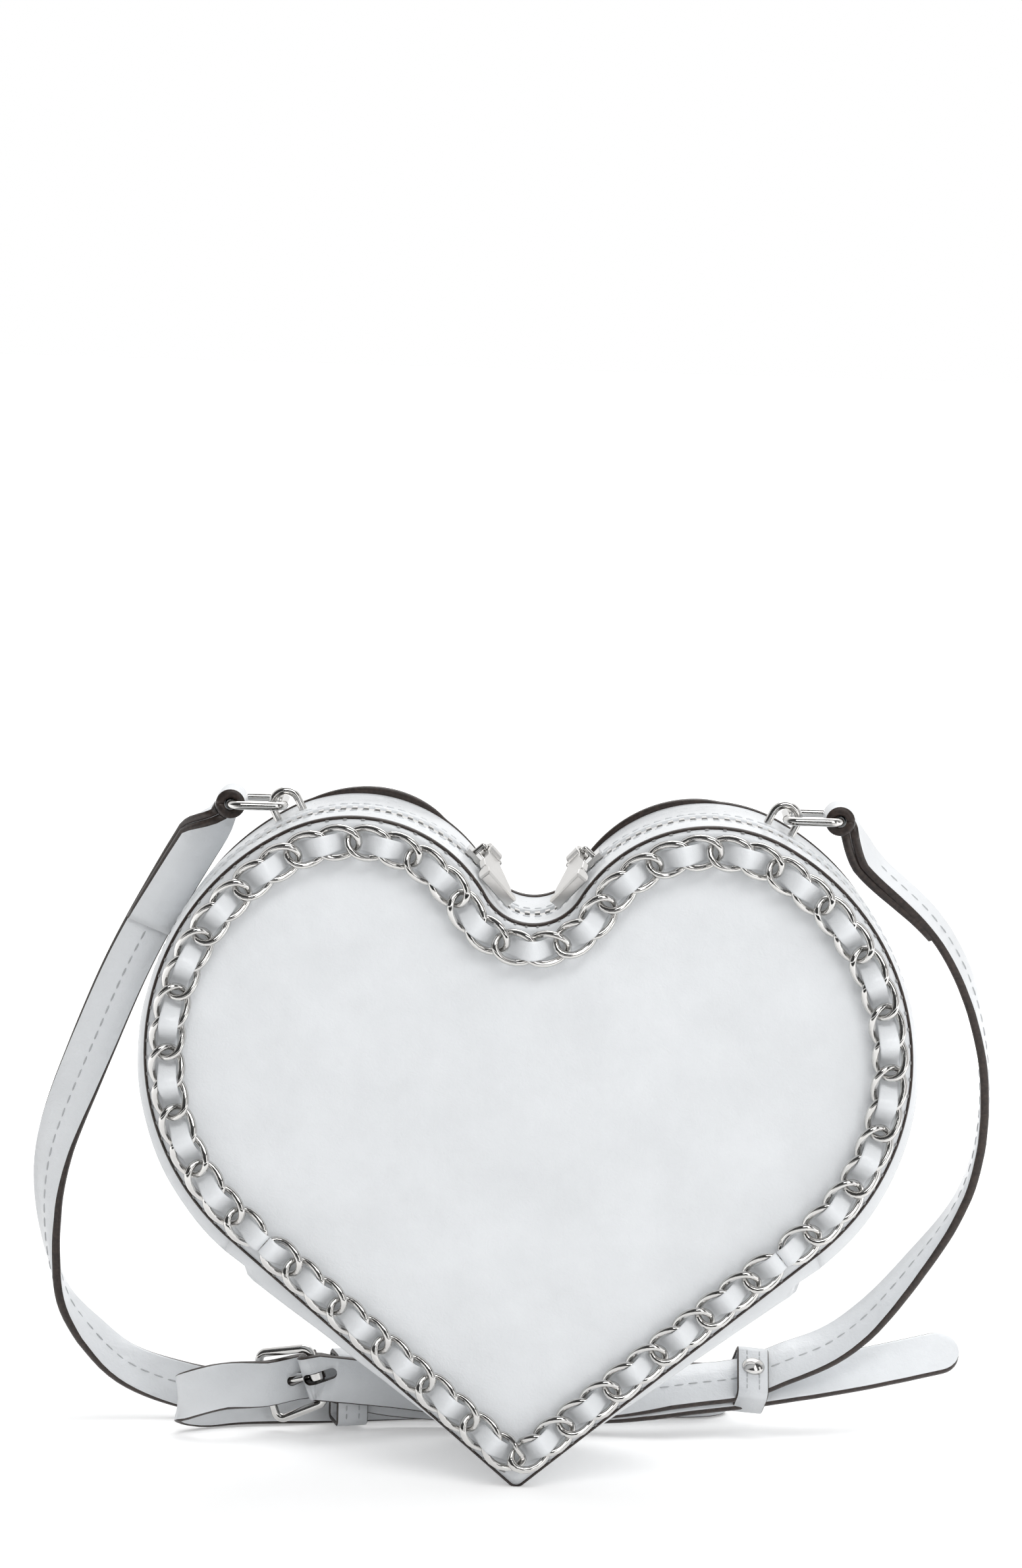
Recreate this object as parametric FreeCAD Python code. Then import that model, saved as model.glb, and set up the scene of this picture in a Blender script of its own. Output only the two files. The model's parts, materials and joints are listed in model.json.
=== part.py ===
"""Heart shaped shoulder purse with a woven chain trim, a two way zip and a buckled strap.

+Z is up, +X is to the right of someone who looks at the front, and +Y points to the back.
The purse stands on its point, and the origin is the floor point under the middle of its box.
"""
import FreeCAD
import Part

import math
import os

V = FreeCAD.Vector

# Heart outline, in the XZ plane, from tangent arcs and two straight legs
LEG_ANGLE = 40.3            # rise of each straight leg, degrees
LEG_LENGTH = 104.0          # from the sharp point to the side arc
SIDE_RADIUS = 67.6
SIDE_END_ANGLE = 62.0       # where the side arc hands over to the lobe arc, degrees
CLEFT_SLOPE = 30.1          # of the line from a lobe's centre to the cleft's, degrees
CLEFT_RADIUS = 14.6
POINT_RADIUS = 2.6

# Body
DEPTH = 50.0                # over the two leather panels
LEATHER = 1.6
BOARD = 1.2                 # stiffener behind each panel
LINING = 0.6
SEAM_MARGIN = 3.0           # board and lining stop this far inside the outline
LAYER_GAP = 0.1             # between pieces that are glued or sewn together
FOLD_GAP = 0.3              # between the front flap and the part below the fold
OVERRUN = 5.0               # how far a cutting solid runs past what it cuts

# Gusset, which swells between its two seams
SWELL = 3.4                 # outward at the zip
SWELL_DROP = 3.4            # the swollen line also sags by this much
SHOULDER_DEPTH = 3.0        # from the seam to the shoulder of the swell
SHOULDER_SHARE = 0.72
FLAT_HALF = 17.0            # half width of the flat stretch along the zip
ZIP_OPENING = 9.0           # between the two leather strips
CAP_RISE = 1.2              # the lower gusset stands proud of the strips by this much
CAP_OVERLAP = 0.3           # room between the strip ends and the lower gusset

# Zip
TAPE = 0.7
TAPE_HALF = 8.6             # from the middle of the zip to the sewn edge of each tape
TOOTH_PITCH = 3.0
TOOTH_LENGTH = 1.4          # along the zip
TOOTH_REACH = 2.7           # across the zip
TOOTH_HEIGHT = 2.0
ROW_GAP = 1.4               # between the two rows
STOP_LENGTH = 4.0

# Slider and pull
SLIDER_LENGTH = 10.0
SLIDER_WIDTH = 8.2
SLIDER_PLATE = 1.3
SLIDER_CLEARANCE = 0.75
POST_WIDTH = 0.8
POST_LENGTH = 2.6
SLIDER_REST_ANGLE = 139.0   # place on the lobe arc, degrees
BAIL_RADIUS = 0.8
BAIL_SPAN = 7.0
EYE_RADIUS = 2.1
EYE_WIDTH = 4.6
EYE_CLEARANCE = 0.25
PULL_YAW = 18.0             # the pull leans into the cleft, degrees
PULL_LENGTH = 27.0
PULL_NECK_WIDTH = 5.0
PULL_WIDTH = 9.6
PULL_THICKNESS = 2.4
PULL_END_LENGTH = 7.0
PULL_END_THICKNESS = 4.4
PULL_DIP = -3.0             # downward lean of the resting pull, degrees

# Woven chain trim on the front
TRIM_INSET = 6.2            # from the panel edge to the middle of the chain
TRIM_POINT_RADIUS = 6.0     # tightest turn, at the point
LINK_PITCH = 8.3
WIRE = 1.5
LINK_WIDTH = 8.9
LINK_SLACK = 0.2
LINK_TWIST = 1.08           # how far the wire rises and falls
WIRE_SIDES = 6
LINK_STEPS = 10
RIBBON_WIDTH = 4.5
RIBBON = 0.9
RIBBON_CLEARANCE = 0.12
RIBBON_STEPS = 4            # sections in half a wave

# Strap anchors and rings
ANCHOR_ANGLE = 64.0         # place on the lobe arc, degrees
ANCHOR_BACK = 12.6          # behind the zip
ANCHOR_WIRE = 2.2
ANCHOR_SPAN = 7.4           # between the middles of its legs
ANCHOR_LEG = 2.4            # straight stretch above the leather
PLATE_LENGTH = 16.0
PLATE_WIDTH = 6.0
PLATE = 1.0
RING_WIRE = 2.4
RING_LENGTH = 17.0
RING_WIDTH = 20.0
RING_CORNER = 3.0
BAR_HEIGHT = 2.9            # of the ring's bar above the leather
RING_CLEARANCE = 0.3

# Strap
STRAP_WIDTH = 13.0
STRAP = 2.0
STRAP_REACH = 129.0         # from the middle to the outermost bend
STRAP_BACK = 68.0           # from the middle to the rearmost run on the floor
FLOOR_GAP = 0.3
FOLD_CLEARANCE = 0.35

# Buckle and keepers
BUCKLE_WIRE = 2.4
BUCKLE_WIDTH = 18.6         # along the middle bar
BUCKLE_END_WIDTH = 22.6     # along the end bar
BUCKLE_LENGTH = 17.4
BUCKLE_LIFT = 1.2           # of its lowest corner above the floor gap
BUCKLE_FORWARD = 1.3        # of the middle bar from the short strap's run
BUCKLE_SLACK = 1.4          # room of the long strap at both bars
BUCKLE_RIDE = 2.0           # of the long strap towards the height between the two bars
TONGUE = 1.9
KEEPER_WIDTH = 9.0
KEEPER = 1.4
KEEPER_CLEARANCE = 0.35
STUD_RADIUS = 3.4
STUD_HEIGHT = 1.6

BUCKLE_SHARE = 0.44         # place of the middle bar along the strap's reach
BUCKLE_CORNER = 2.2
BUCKLE_TILT = 10.0          # turn about the middle bar, degrees
BUCKLE_ROLL = 18.0          # lean of both bars, degrees
TONGUE_SWING = 4.0
KEEPER_SHARE = 0.50
FIXED_SHARE = 0.357
FIXED_SEAT = 0.45           # between the short strap's middle and the fixed keeper's wall
FIXED_ROOM = 2.5            # around the tail in the fixed keeper
ROUND_SHARE = 0.7
BAND_STEPS = 5              # sections of the strap between two rows of its table

# Inside pocket
POCKET_DEPTH = 6.4
POCKET_WIDTH = 96.0
POCKET_HEIGHT = 52.0
POCKET_BASE = 78.0

PART_FOLDER = "parts"

LAMBDA = math.radians(LEG_ANGLE)
LEG_NORMAL = (math.sin(LAMBDA), -math.cos(LAMBDA))
FRONT = -DEPTH / 2
SEAM = DEPTH / 2 - LEATHER - LAYER_GAP


def polar(centre, radius, angle):
    """Point at an angle in degrees on a circle in the XZ plane."""
    turn = math.radians(angle)
    return (centre[0] + radius * math.cos(turn), centre[1] + radius * math.sin(turn))


# Centres of the outline's arcs, worked out so that each arc meets the next in one tangent
POINT_RISE = POINT_RADIUS / math.cos(LAMBDA) - POINT_RADIUS
SIDE_CENTRE = (
    LEG_LENGTH * math.cos(LAMBDA) - SIDE_RADIUS * LEG_NORMAL[0],
    LEG_LENGTH * math.sin(LAMBDA) - SIDE_RADIUS * LEG_NORMAL[1] - POINT_RISE,
)
CLEFT_COSINE = math.cos(math.radians(CLEFT_SLOPE))
END_COSINE = math.cos(math.radians(SIDE_END_ANGLE))
LOBE_SPAN = SIDE_CENTRE[0] + SIDE_RADIUS * END_COSINE - CLEFT_RADIUS * CLEFT_COSINE
LOBE_RADIUS = LOBE_SPAN / (CLEFT_COSINE + END_COSINE)
LOBE_CENTRE = polar(SIDE_CENTRE, SIDE_RADIUS - LOBE_RADIUS, SIDE_END_ANGLE)
CLEFT_ANGLE = 180 - CLEFT_SLOPE
CLEFT_CENTRE = polar(LOBE_CENTRE, LOBE_RADIUS + CLEFT_RADIUS, CLEFT_ANGLE)
POINT_CENTRE = (0, POINT_RADIUS)
LEG_START_ANGLE = LEG_ANGLE - 90
FOLD_HEIGHT = polar(SIDE_CENTRE, SIDE_RADIUS, LEG_START_ANGLE)[1]


class Bend:
    """One arc of an outline, from one angle to another."""

    straight = False

    def __init__(self, centre, radius, start, end, hollow=False):
        self.centre = centre
        self.radius = radius
        self.start = start
        self.end = end
        self.side = -1 if hollow else 1
        self.length = radius * math.radians(abs(end - start))

    def at(self, share):
        angle = self.start + (self.end - self.start) * share
        turn = math.radians(angle)
        normal = (self.side * math.cos(turn), self.side * math.sin(turn))
        return polar(self.centre, self.radius, angle), normal


class Run:
    """One straight stretch of an outline."""

    straight = True

    def __init__(self, start, end):
        self.start = start
        self.end = end
        self.length = math.hypot(end[0] - start[0], end[1] - start[1])

    def at(self, share):
        across = (self.end[0] - self.start[0], self.end[1] - self.start[1])
        point = (self.start[0] + across[0] * share, self.start[1] + across[1] * share)
        return point, (-across[1] / self.length, across[0] / self.length)


def upper_half(offset, drop):
    """Arcs of the right half from the cleft to the top of the leg, moved outward and down."""
    low = (0, -drop)

    def moved(centre):
        return (centre[0] + low[0], centre[1] + low[1])

    return [
        Bend(moved(CLEFT_CENTRE), CLEFT_RADIUS - offset, -90, CLEFT_ANGLE - 180, hollow=True),
        Bend(moved(LOBE_CENTRE), LOBE_RADIUS + offset, CLEFT_ANGLE, SIDE_END_ANGLE),
        Bend(moved(SIDE_CENTRE), SIDE_RADIUS + offset, SIDE_END_ANGLE, LEG_START_ANGLE),
    ]


def lower_half(start, radius, centre):
    """Leg of the right half, tangent to the rounded point, and half of that point."""
    reach = math.hypot(start[0] - centre[0], start[1] - centre[1])
    heading = math.degrees(math.atan2(start[1] - centre[1], start[0] - centre[0]))
    touch = heading - math.degrees(math.acos(radius / reach))
    return [Run(start, polar(centre, radius, touch)), Bend(centre, radius, touch, -90)]


def whole_half(offset, point_radius):
    """Right half of the outline, moved outward by an offset, from the cleft to the point."""
    upper = upper_half(offset, 0)
    start = upper[-1].at(1)[0]
    rise = (point_radius - offset) / math.cos(LAMBDA) - POINT_RISE
    return upper + lower_half(start, point_radius, (0, rise))


def edge(piece, depth, side, backward):
    """A line or arc of an outline, at a depth, on one side and in one direction."""
    shares = (1, 0.5, 0) if backward else (0, 0.5, 1)
    points = [V(side * piece.at(share)[0][0], depth, piece.at(share)[0][1]) for share in shares]
    if piece.straight:
        return Part.LineSegment(points[0], points[2]).toShape()
    return Part.Arc(*points).toShape()


def edges_across(half, depth, backward=False):
    """Edges from the left end of an outline, through the middle line, to the right end."""
    left = [edge(piece, depth, -1, True) for piece in reversed(half)]
    right = [edge(piece, depth, 1, False) for piece in half]
    row = left + right
    if not backward:
        return row
    left = [edge(piece, depth, 1, True) for piece in reversed(half)]
    right = [edge(piece, depth, -1, False) for piece in half]
    return left + right


def joined(first, second):
    """Closed wire from two rows of edges that run in opposite directions."""
    ends = [row[-1].lastVertex(True).Point for row in (first, second)]
    starts = [row[0].firstVertex(True).Point for row in (first, second)]
    bridge = [
        Part.LineSegment(ends[0], starts[1]).toShape(),
        Part.LineSegment(ends[1], starts[0]).toShape(),
    ]
    return Part.Wire(first + bridge[:1] + second + bridge[1:])


def heart_sheet(offset, near, thickness):
    """Flat heart of a given thickness, whose near face lies at a depth."""
    half = whole_half(offset, POINT_RADIUS + offset if offset > -POINT_RADIUS / 2 else POINT_RADIUS)
    right = [edge(piece, near, 1, False) for piece in half]
    left = [edge(piece, near, -1, True) for piece in reversed(half)]
    return Part.Face(Part.Wire(right + left)).extrude(V(0, thickness, 0))


def above(shape, height):
    """The part of a shape above a height."""
    return shape.common(half_space(height, 1))


def below(shape, height):
    """The part of a shape below a height."""
    return shape.common(half_space(height, -1))


def half_space(height, way):
    """Large block on one side of a height."""
    size = (LEG_LENGTH + SIDE_RADIUS) * 4
    corner = V(-size / 2, -size / 2, height if way > 0 else height - size)
    return Part.makeBox(size, size, size, corner)


def along(half, distance):
    """Place and outward normal at a distance from the cleft, negative to the left."""
    side = -1 if distance < 0 else 1
    left = abs(distance)
    for piece in half:
        if left <= piece.length or piece is half[-1]:
            break
        left -= piece.length
    point, normal = piece.at(left / piece.length)
    return V(side * point[0], 0, point[1]), V(side * normal[0], 0, normal[1])


def total(half):
    """Length of an outline's half."""
    return sum(piece.length for piece in half)


def framed(shape, origin, first, second, third):
    """A shape moved from the world axes to a frame."""
    moved = shape.copy()
    moved.transformShape(FreeCAD.Matrix(
        first.x, second.x, third.x, origin.x,
        first.y, second.y, third.y, origin.y,
        first.z, second.z, third.z, origin.z,
        0, 0, 0, 1,
    ))
    return moved


def mirrored(shape):
    """The same shape on the other side of the middle plane."""
    return shape.mirror(V(0, 0, 0), V(1, 0, 0))


def block(length, width, height):
    """Block centred on the origin."""
    return Part.makeBox(length, width, height, V(-length / 2, -width / 2, -height / 2))


def sector(centre, inner, outer, start, end, near, far):
    """Piece of a ring in the XZ plane, between two angles and two depths."""
    middle = (start + end) / 2

    def arc(radius, first, last):
        spots = [polar(centre, radius, angle) for angle in (first, middle, last)]
        return Part.Arc(*[V(x, near, z) for x, z in spots]).toShape()

    wire = joined([arc(outer, start, end)], [arc(inner, end, start)])
    return Part.Face(wire).extrude(V(0, far - near, 0))


def tube_loop(corners, radius, wire):
    """Closed round bar through four corners with rounded turns."""
    path = rounded_loop(corners, radius)
    start = path[0].firstVertex(True).Point
    heading = path[0].lastVertex(True).Point - start
    section = Part.Wire(Part.makeCircle(wire / 2, start, heading))
    return Part.Wire(path).makePipeShell([section], True, False)


def rounded_loop(corners, radius):
    """Edges of a closed loop with an arc at each corner."""
    count = len(corners)
    spots = []
    for index, corner in enumerate(corners):
        before = (corners[index - 1] - corner).normalize()
        after = (corners[(index + 1) % count] - corner).normalize()
        half = before.getAngle(after) / 2
        back = radius / math.tan(half)
        middle = (before + after).normalize() * (radius / math.sin(half) - radius)
        spots.append((corner + before * back, corner + middle, corner + after * back))
    path = []
    for index, (entry, middle, leave) in enumerate(spots):
        previous = spots[index - 1][2]
        path.append(Part.LineSegment(previous, entry).toShape())
        path.append(Part.Arc(entry, middle, leave).toShape())
    return path


# Leather body

def band(sections):
    """Strip of leather through closed sections at growing depth."""
    return Part.makeLoft(sections, True, True)


def swell_levels(near):
    """Depths and shares of the swell from a seam at one side to the zip."""
    way = 1 if near > 0 else -1
    return [
        (near, 0),
        (near - way * SHOULDER_DEPTH, SHOULDER_SHARE),
        (way * FLAT_HALF, 1),
    ]


def upper_section(depth, share):
    """Closed section of the zipped part of the gusset at one depth."""
    outer = upper_half(SWELL * share, SWELL_DROP * share)
    inner = upper_half(SWELL * share - LEATHER, SWELL_DROP * share)
    return joined(edges_across(outer, depth), edges_across(inner, depth, True))


def lower_section(depth, share):
    """Closed section of the pointed part of the gusset at one depth."""
    rows = []
    for inset in (0, LEATHER):
        upper = upper_half((SWELL + CAP_RISE) * share - inset, SWELL_DROP * share)
        start = upper[-1].at(1)[0]
        half = lower_half(start, POINT_RADIUS - inset, POINT_CENTRE)
        half[0] = Run(half[0].at(CAP_OVERLAP / half[0].length)[0], half[0].end)
        rows.append(list(reversed([Turned(piece) for piece in half])))
    return joined(edges_across(rows[0], depth), edges_across(rows[1], depth, True))


class Turned:
    """A stretch of an outline, followed the other way."""

    def __init__(self, piece):
        self.piece = piece
        self.length = piece.length
        self.straight = piece.straight

    def at(self, share):
        return self.piece.at(1 - share)


def zip_strip(near):
    """One leather strip along the zip, from the seam to the opening."""
    sections = [upper_section(depth, share) for depth, share in swell_levels(near)]
    way = 1 if near > 0 else -1
    sections.append(upper_section(way * ZIP_OPENING / 2, 1))
    return band(sections)


def pointed_gusset():
    """Leather gusset under the zip ends, around the point."""
    front = [lower_section(depth, share) for depth, share in swell_levels(-SEAM)]
    back = [lower_section(depth, share) for depth, share in swell_levels(SEAM)]
    return band(front + list(reversed(back)))


TAPE_OUTER = SWELL - LEATHER - LAYER_GAP
TAPE_INNER = TAPE_OUTER - TAPE
ROW_EDGE = ROW_GAP / 2 + TOOTH_REACH


def zip_tape(way):
    """One zip tape, under the leather strip."""
    depth = way * TAPE_HALF
    outer = upper_half(TAPE_OUTER, SWELL_DROP)
    inner = upper_half(TAPE_INNER, SWELL_DROP)
    wire = joined(edges_across(outer, depth), edges_across(inner, depth, True))
    return Part.Face(wire).extrude(V(0, way * (ROW_EDGE - TAPE_HALF), 0))


def zip_teeth(way, stagger):
    """One row of teeth along the inner edge of a tape."""
    half = upper_half((TAPE_OUTER + TAPE_INNER) / 2, SWELL_DROP)
    reach = total(half) - STOP_LENGTH - TOOTH_PITCH
    count = int(reach / TOOTH_PITCH)
    pitch = reach / count
    teeth = []
    for index in range(-count, count + 1):
        place, normal = along(half, (index + stagger) * pitch)
        tooth = block(TOOTH_LENGTH, TOOTH_REACH, TOOTH_HEIGHT)
        heading = V(0, 1, 0).cross(normal)
        spot = place + V(0, way * (ROW_GAP + TOOTH_REACH) / 2, 0)
        teeth.append(framed(tooth, spot, heading, V(0, 1, 0), normal))
    return Part.makeCompound(teeth)


def zip_stops():
    """Metal stops that close the lower ends of the zip."""
    half = upper_half((TAPE_OUTER + TAPE_INNER) / 2, SWELL_DROP)
    stops = []
    for way in (-1, 1):
        place, normal = along(half, way * (total(half) - STOP_LENGTH / 2))
        stop = block(STOP_LENGTH, ROW_EDGE, TOOTH_HEIGHT)
        heading = V(0, 1, 0).cross(normal)
        stops.append(framed(stop, place + V(0, ROW_EDGE / 2, 0), heading, V(0, 1, 0), normal))
    return Part.makeCompound(stops)


# Slider and pull, right side

ZIP_CENTRE = (LOBE_CENTRE[0], LOBE_CENTRE[1] - SWELL_DROP)
ZIP_RADIUS = LOBE_RADIUS + (TAPE_OUTER + TAPE_INNER) / 2
PLATE_GAP = TOOTH_HEIGHT / 2 + SLIDER_CLEARANCE
SLIDER_TOP = ZIP_RADIUS + PLATE_GAP + SLIDER_PLATE
BAIL_HEIGHT = EYE_RADIUS + SLIDER_CLEARANCE
SLIDER_SWEEP = math.degrees(SLIDER_LENGTH / ZIP_RADIUS)
SLIDER_NORMAL = V(*[math.cos(math.radians(SLIDER_REST_ANGLE)), 0, math.sin(math.radians(SLIDER_REST_ANGLE))])
DOWNHILL = V(-SLIDER_NORMAL.z, 0, SLIDER_NORMAL.x)
YAW = math.radians(PULL_YAW)
PULL_AXIS = DOWNHILL * math.cos(YAW) + V(0, math.sin(YAW), 0)
PULL_HEADING = V(0, -math.cos(YAW), 0) + DOWNHILL * math.sin(YAW)
BAIL_SPOT = V(ZIP_CENTRE[0], 0, ZIP_CENTRE[1]) + SLIDER_NORMAL * (SLIDER_TOP + BAIL_HEIGHT)


def round_bar(start, end, radius):
    """Cylinder between two points."""
    span = end - start
    return Part.makeCylinder(radius, span.Length, start, span)


def slider():
    """Zip slider: two plates joined by a post, with a bail for the pull."""
    start = SLIDER_REST_ANGLE - SLIDER_SWEEP / 2
    end = SLIDER_REST_ANGLE + SLIDER_SWEEP / 2
    half = SLIDER_WIDTH / 2
    inner = ZIP_RADIUS - PLATE_GAP
    outer = ZIP_RADIUS + PLATE_GAP
    upper = sector(ZIP_CENTRE, outer, SLIDER_TOP, start, end, -half, half)
    lower = sector(ZIP_CENTRE, inner - SLIDER_PLATE, inner, start, end, -half, half)
    post_start = end - math.degrees(POST_LENGTH / ZIP_RADIUS)
    thin = POST_WIDTH / 2
    post_inner = inner - SLIDER_PLATE / 2
    post_outer = outer + SLIDER_PLATE / 2
    post = sector(ZIP_CENTRE, post_inner, post_outer, post_start, end, -thin, thin)
    body = upper.fuse([lower, post])
    side = PULL_AXIS * (BAIL_SPAN / 2)
    sink = SLIDER_NORMAL * (BAIL_HEIGHT + SLIDER_PLATE)
    bar = round_bar(BAIL_SPOT - side, BAIL_SPOT + side, BAIL_RADIUS)
    legs = [round_bar(BAIL_SPOT + side * way - sink, BAIL_SPOT + side * way, BAIL_RADIUS) for way in (-1, 1)]
    knobs = [Part.makeSphere(BAIL_RADIUS, BAIL_SPOT + side * way) for way in (-1, 1)]
    bail = bar.fuse(legs + knobs)
    under = sector(ZIP_CENTRE, inner, outer, start, end, -half * 2, half * 2)
    return body.fuse(bail.cut(under)).removeSplitter()


def rectangle(along_pull, width, low, high):
    """Closed section across the pull at a distance from its eye, in the pull's own frame."""
    half = width / 2
    corners = [(-half, low), (half, low), (half, high), (-half, high)]
    spots = [V(along_pull, across, rise) for across, rise in corners]
    return Part.makePolygon(spots + spots[:1])


def pull():
    """Zip pull: eye, tapered bar and a thicker faceted end."""
    thin = PULL_THICKNESS / 2
    thick = PULL_END_THICKNESS / 2
    neck_end = EYE_RADIUS + PULL_THICKNESS
    block_start = PULL_LENGTH - PULL_END_LENGTH
    bevel = PULL_END_LENGTH / 4
    sections = [
        rectangle(EYE_RADIUS / 2, EYE_WIDTH, -thin, thin),
        rectangle(neck_end, PULL_NECK_WIDTH, -thin, thin),
        rectangle(block_start, PULL_WIDTH - bevel, -thin, thin),
        rectangle(block_start + bevel, PULL_WIDTH, -thick, thick),
        rectangle(PULL_LENGTH - bevel, PULL_WIDTH, -thick, thick),
        rectangle(PULL_LENGTH, PULL_WIDTH - bevel, -thin, thin),
    ]
    body = Part.makeLoft(sections, True, True)
    hub = Part.makeCylinder(EYE_RADIUS, EYE_WIDTH, V(0, -EYE_WIDTH / 2, 0), V(0, 1, 0))
    hole = Part.makeCylinder(
        BAIL_RADIUS + EYE_CLEARANCE, EYE_WIDTH + OVERRUN, V(0, -(EYE_WIDTH + OVERRUN) / 2, 0), V(0, 1, 0))
    shape = body.fuse(hub).cut(hole)
    shape.rotate(V(0, 0, 0), V(0, 1, 0), PULL_DIP)
    return framed(shape, BAIL_SPOT, PULL_HEADING, PULL_AXIS * -1, SLIDER_NORMAL)


# Woven chain trim on the front panel

RIBBON_RISE = LINK_TWIST + WIRE / 2 + RIBBON / 2 + RIBBON_CLEARANCE
TRIM_DEPTH = FRONT - RIBBON_RISE - RIBBON / 2 - LAYER_GAP
TRIM_HALF = whole_half(-TRIM_INSET, TRIM_POINT_RADIUS)
TRIM_LENGTH = total(TRIM_HALF)
SEARCH_STEPS = 40


def trim_fold():
    """Distance along the trim at which it crosses the fold of the front."""
    low = 0
    high = TRIM_LENGTH
    for _ in range(SEARCH_STEPS):
        middle = (low + high) / 2
        if along(TRIM_HALF, middle)[0].z > FOLD_HEIGHT:
            low = middle
        else:
            high = middle
    return low


def trim_spot(distance, across, lift):
    """Point at a distance along the trim, moved outward and towards the viewer."""
    beyond = distance > TRIM_LENGTH
    place, normal = along(TRIM_HALF, distance - TRIM_LENGTH * 2 if beyond else distance)
    return place + normal * across + V(0, TRIM_DEPTH - lift, 0)


def link(distance, pitch):
    """One twisted chain link as a faceted closed bar."""
    half_length = (pitch + WIRE + LINK_SLACK) / 2
    half_width = (LINK_WIDTH - WIRE) / 2
    rings = []
    for step in range(LINK_STEPS):
        turn = 2 * math.pi * step / LINK_STEPS
        flat = (half_length * math.cos(turn), half_width * math.sin(turn), LINK_TWIST * math.sin(2 * turn))
        lift = 2 * LINK_TWIST * math.cos(2 * turn)
        speed = V(-half_length * math.sin(turn), half_width * math.cos(turn), lift)
        speed.normalize()
        out = V(half_width * math.cos(turn), half_length * math.sin(turn), 0)
        out = (out - speed * out.dot(speed)).normalize()
        up = speed.cross(out)
        ring = []
        for corner in range(WIRE_SIDES):
            spin = 2 * math.pi * corner / WIRE_SIDES
            spot = V(*flat) + out * (math.cos(spin) * WIRE / 2) + up * (math.sin(spin) * WIRE / 2)
            ring.append(trim_spot(distance + spot.x, spot.y, spot.z))
        rings.append(ring)
    return faceted(rings, True)


def faceted(rings, closed):
    """Solid through rings of points, with triangles between them."""
    faces = []
    count = len(rings)
    sides = len(rings[0])
    for index in range(count if closed else count - 1):
        first = rings[index]
        second = rings[(index + 1) % count]
        for corner in range(sides):
            after = (corner + 1) % sides
            faces.append(triangle(first[corner], first[after], second[after]))
            faces.append(triangle(first[corner], second[after], second[corner]))
    if not closed:
        for ring in (rings[0], rings[-1]):
            for corner in range(1, sides - 1):
                faces.append(triangle(ring[0], ring[corner], ring[corner + 1]))
    return outward(Part.makeSolid(Part.makeShell(faces)))


def outward(solid):
    """The same solid with its faces turned outward."""
    if solid.Volume < 0:
        solid.reverse()
    return solid


def triangle(first, second, third):
    """Flat triangular face."""
    return Part.Face(Part.makePolygon([first, second, third, first]))


def ribbon_run(start, end, pitch, origin):
    """Leather ribbon that waves over and under the joints of the links."""
    count = max(2, int(round((end - start) / pitch * RIBBON_STEPS)))
    rings = []
    for step in range(count + 1):
        distance = start + (end - start) * step / count
        wave = RIBBON_RISE * math.cos(math.pi * (distance - origin) / pitch)
        half = RIBBON_WIDTH / 2
        low = wave - RIBBON / 2
        high = wave + RIBBON / 2
        rings.append([
            trim_spot(distance, -half, low),
            trim_spot(distance, half, low),
            trim_spot(distance, half, high),
            trim_spot(distance, -half, high),
        ])
    return faceted(rings, False)


def trim_runs():
    """Links and ribbons above and below the fold of the front."""
    overhang = WIRE + (LINK_SLACK + FOLD_GAP) / 2
    fold = trim_fold()
    spans = [(overhang - fold, fold - overhang), (fold + overhang, TRIM_LENGTH * 2 - fold - overhang)]
    runs = []
    for start, end in spans:
        count = int(round((end - start) / LINK_PITCH))
        pitch = (end - start) / count
        links = [link(start + (index + 0.5) * pitch, pitch) for index in range(count)]
        ribbon = ribbon_run(start - WIRE, end + WIRE, pitch, start)
        runs.append((Part.makeCompound(links), ribbon))
    return runs


# Strap anchors and rings, right side

ANCHOR_NORMAL = V(math.cos(math.radians(ANCHOR_ANGLE)), 0, math.sin(math.radians(ANCHOR_ANGLE)))
ANCHOR_HEADING = V(ANCHOR_NORMAL.z, 0, -ANCHOR_NORMAL.x)
ANCHOR_SPOT = V(ZIP_CENTRE[0], ANCHOR_BACK, ZIP_CENTRE[1]) + ANCHOR_NORMAL * (LOBE_RADIUS + SWELL)
RING_BAR = ANCHOR_SPOT + ANCHOR_NORMAL * BAR_HEIGHT
STRAP_BAR = RING_BAR + V(RING_LENGTH - RING_WIRE, 0, 0)


def anchor():
    """Half ring whose two legs pass through the leather."""
    span = ANCHOR_SPAN / 2
    top = ANCHOR_SPOT + ANCHOR_NORMAL * ANCHOR_LEG
    sink = ANCHOR_NORMAL * (LEATHER + LAYER_GAP)
    arch = Part.makeTorus(span, ANCHOR_WIRE / 2, V(0, 0, 0), V(0, 0, 1), -180, 180, 180)
    arch = framed(arch, top, ANCHOR_HEADING, ANCHOR_NORMAL, ANCHOR_HEADING.cross(ANCHOR_NORMAL))
    legs = []
    for way in (-1, 1):
        foot = ANCHOR_HEADING * (span * way)
        legs.append(round_bar(ANCHOR_SPOT - sink + foot, top + foot, ANCHOR_WIRE / 2))
    return arch.fuse(legs)


def anchor_holes():
    """Holes in the strip for the anchor's legs."""
    bars = []
    for way in (-1, 1):
        foot = ANCHOR_SPOT + ANCHOR_HEADING * (ANCHOR_SPAN / 2 * way)
        reach = ANCHOR_NORMAL * OVERRUN
        bars.append(round_bar(foot - reach, foot + reach, ANCHOR_WIRE / 2 + LAYER_GAP))
    return bars


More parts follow.
